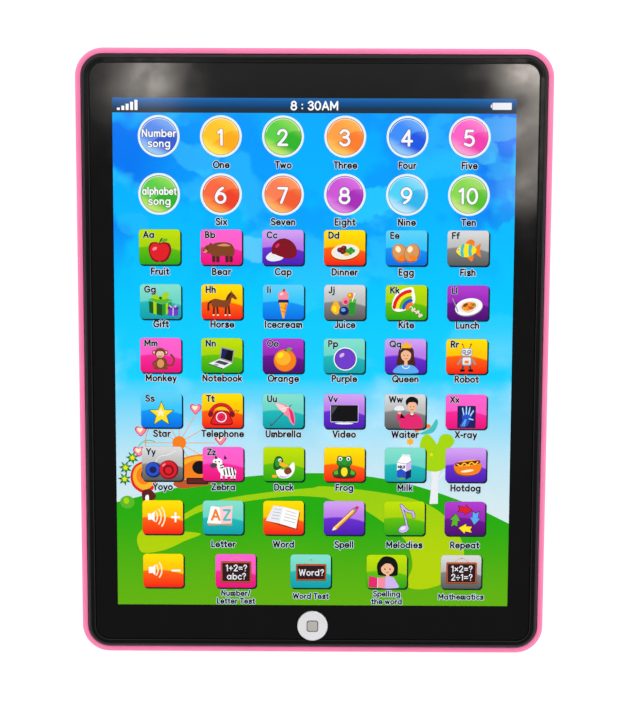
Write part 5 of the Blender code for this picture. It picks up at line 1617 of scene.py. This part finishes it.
def front_frame():
    """The glossy black front with its round rim, ledge and button hole."""
    skirt = outline_inset(FRONT_INSET + SKIRT_THICKNESS)
    levels = [(skirt, SKIRT_HIGH), (skirt, SKIRT_LOW), (outline_inset(FRONT_INSET), SKIRT_LOW)]
    for falling, rising in quarter_turn(EDGE_STEPS):
        levels.append((outline_inset(FRONT_INSET + RIM_ROUND * rising), THICKNESS - RIM_ROUND * falling))
    for falling, rising in quarter_turn(3):
        levels.append((outline_inset(RIM_INNER_INSET - RIM_EDGE * falling), THICKNESS - RIM_EDGE * rising))
    levels.append((outline_inset(RIM_INNER_INSET), FILM_LOW - 0.2 * MM))
    made = solid("front_frame", FRONT_PLASTIC, levels)
    posts = [straight(circle(FRONT_POST, place), FRONT_POST_LOW, FRONT_POST_TOP) for place in SCREWS]
    carve(made, *posts, join=True)
    shafts = [straight(circle(SCREW_SHAFT, place), FRONT_SHAFT_LOW, FRONT_SHAFT_TOP) for place in SCREWS]
    carve(made, straight(BUTTON_HOLE, BUTTON_HOLE_LOW, THICKNESS + PAST), *shafts)
    shell_finish(made, "casing", "front_housing")


def face_sheet():
    """The black glossy film that carries the print, with its hole for the button."""
    outline, inner = outline_inset(FILM_INSET), outline_inset(FILM_INSET + FILM_EDGE)
    levels = [(outline, FILM_LOW), (outline, FILM_TOP - FILM_EDGE), (inner, FILM_TOP)]
    sheet = solid("face_sheet", SHEET_PLASTIC, levels)
    carve(sheet, straight(BUTTON_HOLE, FILM_LOW - PAST, FILM_TOP + PAST))
    shell_finish(sheet, "casing", "face_film")


# Radius and depth of the rings of the button's dish, in millimetres.
DISH = ((4.8, 0.05), (3.9, 0.12), (2.6, 0.17), (1.3, 0.2), (0.0, 0.2))
STEM_RADIUS = 2.2 * MM
FLANGE_TOP = 18.9 * MM
BUTTON_EDGE = 0.6 * MM


def button_cap():
    """The white home button: a shallow dish with a grey rounded square."""
    top, low = BUTTON_HIGH.z, BUTTON_LOW.z
    flange_low = FLANGE_TOP - MM
    profile = [(0, low), (STEM_RADIUS, low), (STEM_RADIUS, flange_low), (FLANGE_RADIUS, flange_low),
               (FLANGE_RADIUS, FLANGE_TOP), (BUTTON_RADIUS, FLANGE_TOP), (BUTTON_RADIUS, top - BUTTON_EDGE)]
    for falling, rising in quarter_turn(5, 1):
        profile.append((BUTTON_RADIUS - BUTTON_EDGE * rising, top - BUTTON_EDGE * falling))
    profile += [(reach * MM, top - fall * MM) for reach, fall in DISH]
    cap = mesh_object("button_cap", turned(profile, BUTTON_XY, 72), [BUTTON_PLASTIC])
    shell_finish(cap, "home_button", "home_button")
    for name, look, side, corner, fall in (
        ("button_mark_edge", ink("dark_grey"), 4.6, 0.9, 0.09),
        ("button_mark", MARK_PRINT, 4.0, 0.7, 0.08),
    ):
        mark = bmesh.new()
        outline = rounded_rectangle(side * MM, side * MM, corner * MM, BUTTON_XY, 6)
        stack(mark, straight(outline, top - 0.3 * MM, top - fall * MM))
        made = mesh_object(name, mark, [look], (*BUTTON_XY, top), smooth=False)
        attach(made, "home_button")


DOOR_LENGTH = 48.4 * MM
DOOR_TOP = 1.9 * MM
DOOR_EDGE = 0.25 * MM
TONGUE_START = 23.4 * MM
HOOK_FOOT_LENGTH = 2.7 * MM
DOOR_WELL, DOOR_WELL_TOP = 3.1 * MM, 2.2 * MM
RIDGE_LENGTH, RIDGE_WIDTH, RIDGE_DEPTH = 20 * MM, 0.8 * MM, 0.5 * MM
RIDGE_START, RIDGE_PITCH = 8 * MM, 1.6 * MM


def door_cover():
    """The battery door with finger ridges, its tongue, hooks and screw well."""
    low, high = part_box("battery_door")
    width = high.x - low.x
    y = BAY_MIDDLE[1]
    outline = rounded_rectangle(width, DOOR_LENGTH, 0.6 * MM, BAY_MIDDLE, 4)
    inner = rounded_rectangle(width - 2 * DOOR_EDGE, DOOR_LENGTH - 2 * DOOR_EDGE, 0.4 * MM, BAY_MIDDLE, 4)
    levels = [(inner, low.z), (outline, low.z + DOOR_EDGE), (outline, DOOR_TOP)]
    door = solid("door_cover", REAR_PLASTIC, levels)
    tongue_low = (-TONGUE_HALF, y + TONGUE_START, low.z + 0.05 * MM)
    carve(door, block(tongue_low, (TONGUE_HALF, high.y, TONGUE_TOP)), join=True)
    foot_y = y - DOOR_LENGTH / 2 + 0.4 * MM
    foot = (foot_y, foot_y + HOOK_FOOT_LENGTH, DOOR_TOP - 0.5 * MM)
    tip = (low.y, foot_y + 1 * MM, 2.5 * MM)
    for start, end, bottom in (foot, tip):
        hooks = [block((x - HOOK_HALF, start, bottom), (x + HOOK_HALF, end, HOOK_TOP)) for x in HOOKS_X]
        carve(door, *hooks, join=True)
    well, shaft = circle(DOOR_WELL, DOOR_SCREW_XY), circle(SCREW_SHAFT, DOOR_SCREW_XY)
    cuts = [[(well, -PAST), (well, DOOR_WELL_TOP), (shaft, DOOR_WELL_TOP), (shaft, HOOK_TOP + PAST)]]
    for ridge in range(7):
        place = (0, y + RIDGE_START + RIDGE_PITCH * ridge)
        groove = rounded_rectangle(RIDGE_LENGTH, RIDGE_WIDTH, 0.39 * MM, place, 5)
        cuts.append(straight(groove, -PAST, low.z + RIDGE_DEPTH))
    carve(door, *cuts)
    shell_finish(door, "battery_door", "battery_door")


STEM_HALF_Y, STEM_HALF_Z = 1 * MM, 0.8 * MM
GROOVE_DEPTH, GROOVE_HALF, GROOVE_PITCH = 0.35 * MM, 0.17 * MM, 0.8 * MM


def switch_knob():
    """The black knob: a stem through the side, and a cap with four grooves."""
    low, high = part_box("power_switch_knob")
    y, z = middle("power_switch_knob")[1:]
    cap_x = WIDTH / 2 - WALL + 0.1 * MM
    stem_end = (cap_x + 0.6 * MM, y + STEM_HALF_Y, z + STEM_HALF_Z)
    stem = block((low.x, y - STEM_HALF_Y, z - STEM_HALF_Z), stem_end)
    knob = solid("switch_knob", BLACK_PLASTIC, stem)
    carve(knob, block((cap_x, low.y, low.z), high), join=True)
    grooves = []
    for groove in range(4):
        place = y + (groove - 1.5) * GROOVE_PITCH
        grooves.append(block((high.x - GROOVE_DEPTH, place - GROOVE_HALF, low.z - PAST),
                             (high.x + PAST, place + GROOVE_HALF, high.z + PAST)))
    carve(knob, *grooves)
    shell_finish(knob, "power_switch_knob", "power_switch_knob")


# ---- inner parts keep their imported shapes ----


def fine_edges(node):
    """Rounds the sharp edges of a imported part, which keeps its own mesh."""
    for polygon in node.data.polygons:
        polygon.use_smooth = True
    weld = node.modifiers.new("weld", "WELD")
    weld.merge_threshold = 0.002 * MM
    bevel = node.modifiers.new("edges", "BEVEL")
    bevel.width = 0.12 * MM
    bevel.segments = 2
    bevel.limit_method = "ANGLE"
    bevel.angle_limit = radians(35)
    bevel.harden_normals = True


CELL_SLEEVE_END = 24.6 * MM
CELL_SHOULDER = 11.8 * MM


def cell_wrap():
    """A dark sleeve with a copper-coloured shoulder and bare steel ends."""
    look = Finish("cell_wrap", 0.3, coat=0.3)
    x = look.axis("X")
    reach = look.math("ABSOLUTE", x)
    end = look.between(reach, CELL_SLEEVE_END, CELL_SLEEVE_END + 0.1 * MM, soft=False)
    shoulder = look.between(x, CELL_SHOULDER, CELL_SHOULDER + 0.2 * MM, soft=False)
    sleeve = look.mix(shoulder, linear(30, 44, 96), linear(196, 132, 60))
    look.set("Base Color", look.mix(end, sleeve, linear(190, 190, 192)))
    look.set("Metallic", look.math("MAXIMUM", end, look.times(shoulder, 0.7)))
    look.bump(look.noise(900.0), 0.1, 0.02 * MM)
    return look.material


def board_laminate():
    """Green solder mask over a faint track pattern."""
    look = Finish("board_laminate", 0.35, coat=0.4)
    stepped = look.node("ShaderNodeTexVoronoi", {"Vector": look.place, "Scale": 260.0}, distance="MANHATTAN")
    tracks = look.between(stepped.outputs["Distance"], 0.35, 0.42)
    look.set("Base Color", look.mix(tracks, linear(14, 84, 44), linear(24, 116, 60)))
    look.bump(tracks, 0.2, 0.03 * MM)
    return look.material


WIRE_COLOURS = {
    "wire_battery_to_switch": (206, 24, 28),
    "wire_switch_to_board": (206, 24, 28),
    "wire_battery_to_board": (24, 24, 26),
    "speaker_wire_a": (238, 200, 30),
    "speaker_wire_b": (24, 24, 26),
}
EDGED = ("battery_", "power_switch", "main_board", "home_switch", "tail", "door_screw", "case_screw")


def inner_parts():
    """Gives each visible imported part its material, by its own name or by the kind its name starts with."""
    steel = metal("steel", (176, 178, 182), 0.3)
    brass = metal("plated_contact", (206, 200, 180), 0.3)
    looks = {
        "battery_": cell_wrap(),
        "upper_membrane": MEMBRANE_FILM,
        "spacer_membrane": MEMBRANE_FILM,
        "lower_membrane": MEMBRANE_FILM,
        "main_board": board_laminate(),
        "chip_blob": moulded("epoxy", (18, 18, 20), 0.25, grain=700.0),
        "home_switch_": BLACK_PLASTIC,
        "tail_connector": moulded("connector_nylon", (226, 222, 208), 0.5),
        "speaker_cone": moulded("cone_paper", (30, 30, 32), 0.9, grain=1500.0, depth=0.08),
        "speaker_frame": steel,
        "speaker_magnet": metal("magnet_plate", (150, 152, 156), 0.4),
        "power_switch_body": steel,
        "contact_": brass,
        "case_screw": steel,
        "board_screw": steel,
        "speaker_screw": steel,
        "door_screw": steel,
    }
    for name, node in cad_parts.items():
        if node.hide_render:
            continue
        if name in WIRE_COLOURS:
            look = moulded("insulation_" + name, WIRE_COLOURS[name], 0.45, grain=1200.0)
        else:
            look = next(look for start, look in looks.items() if name.startswith(start))
        node.data.materials.clear()
        node.data.materials.append(look)
        if name.startswith(EDGED):
            fine_edges(node)


# ---- light, floor and camera ----

ROOM_STRENGTH = 1.84

# Brightness of the room by height, from the horizon up to straight overhead.
WALL_LIGHT = ((0.0, 0.6), (0.13, 0.6), (0.2, 0.24), (0.44, 0.26), (0.58, 1.0), (1.0, 1.0))
DARK_CEILING = (0.018, 0.018, 0.019, 1.0)
NORTH_CEILING = (1.1, 1.08, 1.05, 1.0)

# Each dim light as seen from the face: west, east, south and north slopes from straight up, and its colour.
CORNER_LIGHTS = (
    (-0.12, -0.085, 0.004, 0.04, (3.8, 3.5, 3.2)),
    (0.103, 0.126, -0.045, 0.035, (8.0, 7.3, 6.6)),
)
LIGHT_SOFTNESS = 0.012
LEAN_NORTH, LEAN_EAST = 0.34, 0.14
FLOOR_GLOW = 0.68
FLOOR_SIZE = 14.0
FLOOR_GAP = 0.3 * MM


def room():
    """A bright room with a dark ceiling, and two dim soft lights mirrored in the top corners."""
    world = bpy.data.worlds.new("studio")
    bpy.context.scene.world = world
    world.use_nodes = True
    air = Nodes(world.node_tree, "Generated")
    background = air.nodes["Background"]
    up = air.axis("Z")
    across = air.math("DIVIDE", air.axis("X"), up)
    along = air.math("DIVIDE", air.axis("Y"), up)
    walls = air.ramp(up, [(where, (light, light, light, 1.0)) for where, light in WALL_LIGHT])
    toward = air.math("ADD", air.times(air.axis("Y"), LEAN_NORTH), air.times(air.axis("X"), LEAN_EAST))
    lean = air.times(toward, air.between(air.math("ABSOLUTE", up), 0.14, 0.4))
    ceiling = air.between(up, 0.95, 0.78)
    north = air.times(air.between(along, -0.03, 0.03), 0.1)
    glow = air.mix(ceiling, air.mix(north, DARK_CEILING, NORTH_CEILING), walls)
    patches = air.between(air.noise(30.0, 4.0), 0.34, 0.66)
    for west, east, south, north, color in CORNER_LIGHTS:
        spans = []
        for slope, low, high in ((across, west, east), (along, south, north)):
            rising = air.between(slope, low - LIGHT_SOFTNESS, low + LIGHT_SOFTNESS)
            falling = air.between(slope, high + LIGHT_SOFTNESS, high - LIGHT_SOFTNESS)
            spans.append(air.times(rising, falling))
        share = air.times(air.times(*spans), patches)
        glow = air.mix(air.times(share, air.between(up, 0.9, 0.97)), glow, (*color, 1.0))
    air.plug(background.inputs["Color"], glow)
    air.plug(background.inputs["Strength"], air.times(air.math("ADD", lean, 1.0), ROOM_STRENGTH))


def floor():
    """A pale floor just under the tablet, clear from below."""
    bm = bmesh.new()
    z = CAD_LOW.z - FLOOR_GAP
    bm.faces.new([bm.verts.new((x, y, z)) for x, y in rectangle(FLOOR_SIZE, FLOOR_SIZE)])
    look = Finish("floor", 0.9)
    look.set("Base Color", look.mix(look.noise(3.0), linear(190, 190, 190), linear(186, 187, 188)))
    look.set("Emission Color", (1.0, 1.0, 1.0, 1.0))
    look.set("Emission Strength", FLOOR_GLOW)
    side = look.node("ShaderNodeNewGeometry", {}).outputs["Backfacing"]
    clear = look.node("ShaderNodeBsdfTransparent", {}).outputs[0]
    chosen = look.node("ShaderNodeMixShader", {0: side, 1: look.shader.outputs[0], 2: clear}).outputs[0]
    look.plug(look.nodes["Material Output"].inputs["Surface"], chosen)
    mesh_object("floor", bm, [look.material], smooth=False)


# The camera's place in metres, its turn from straight down in radians and its lens in millimetres.
CAMERA_PLACE = (0.00364, 0.09451, 0.70584)
CAMERA_TURN = (-0.13567, 0.00575, 0.00352)
CAMERA_LENS = 89.1


def camera():
    """A camera at the photograph's distance and angle."""
    data = bpy.data.cameras.new("camera")
    data.sensor_width = 36.0
    data.lens = CAMERA_LENS
    data.clip_start, data.clip_end = 0.01, 20.0
    made = bpy.data.objects.new("camera", data)
    made.location = CAMERA_PLACE
    made.rotation_euler = CAMERA_TURN
    bpy.context.scene.collection.objects.link(made)
    bpy.context.scene.camera = made


REAR_PLASTIC = moulded("pink_plastic", (252, 130, 177), 0.3, coat=0.25)
FRONT_PLASTIC = moulded("black_gloss", (19, 19, 20), 0.1, grain=900.0, depth=0.006, specular=0.25)
SHEET_PLASTIC = moulded("black_film", (17, 17, 18), 0.04, grain=700.0, depth=0.003, coat=0.6)
BUTTON_PLASTIC = moulded("white_button", (222, 221, 224), 0.3, coat=0.2)
MARK_PRINT = moulded("button_mark_print", (178, 172, 168), 0.4)
BLACK_PLASTIC = moulded("black_plastic", (26, 26, 28), 0.45)
MEMBRANE_FILM = moulded("membrane_film", (214, 218, 220), 0.35)

camera()
room()
floor()
rear_shell()
front_frame()
face_sheet()
button_cap()
door_cover()
switch_knob()
scenery()
keys()
inner_parts()

bpy.context.scene.view_settings.view_transform = "Standard"
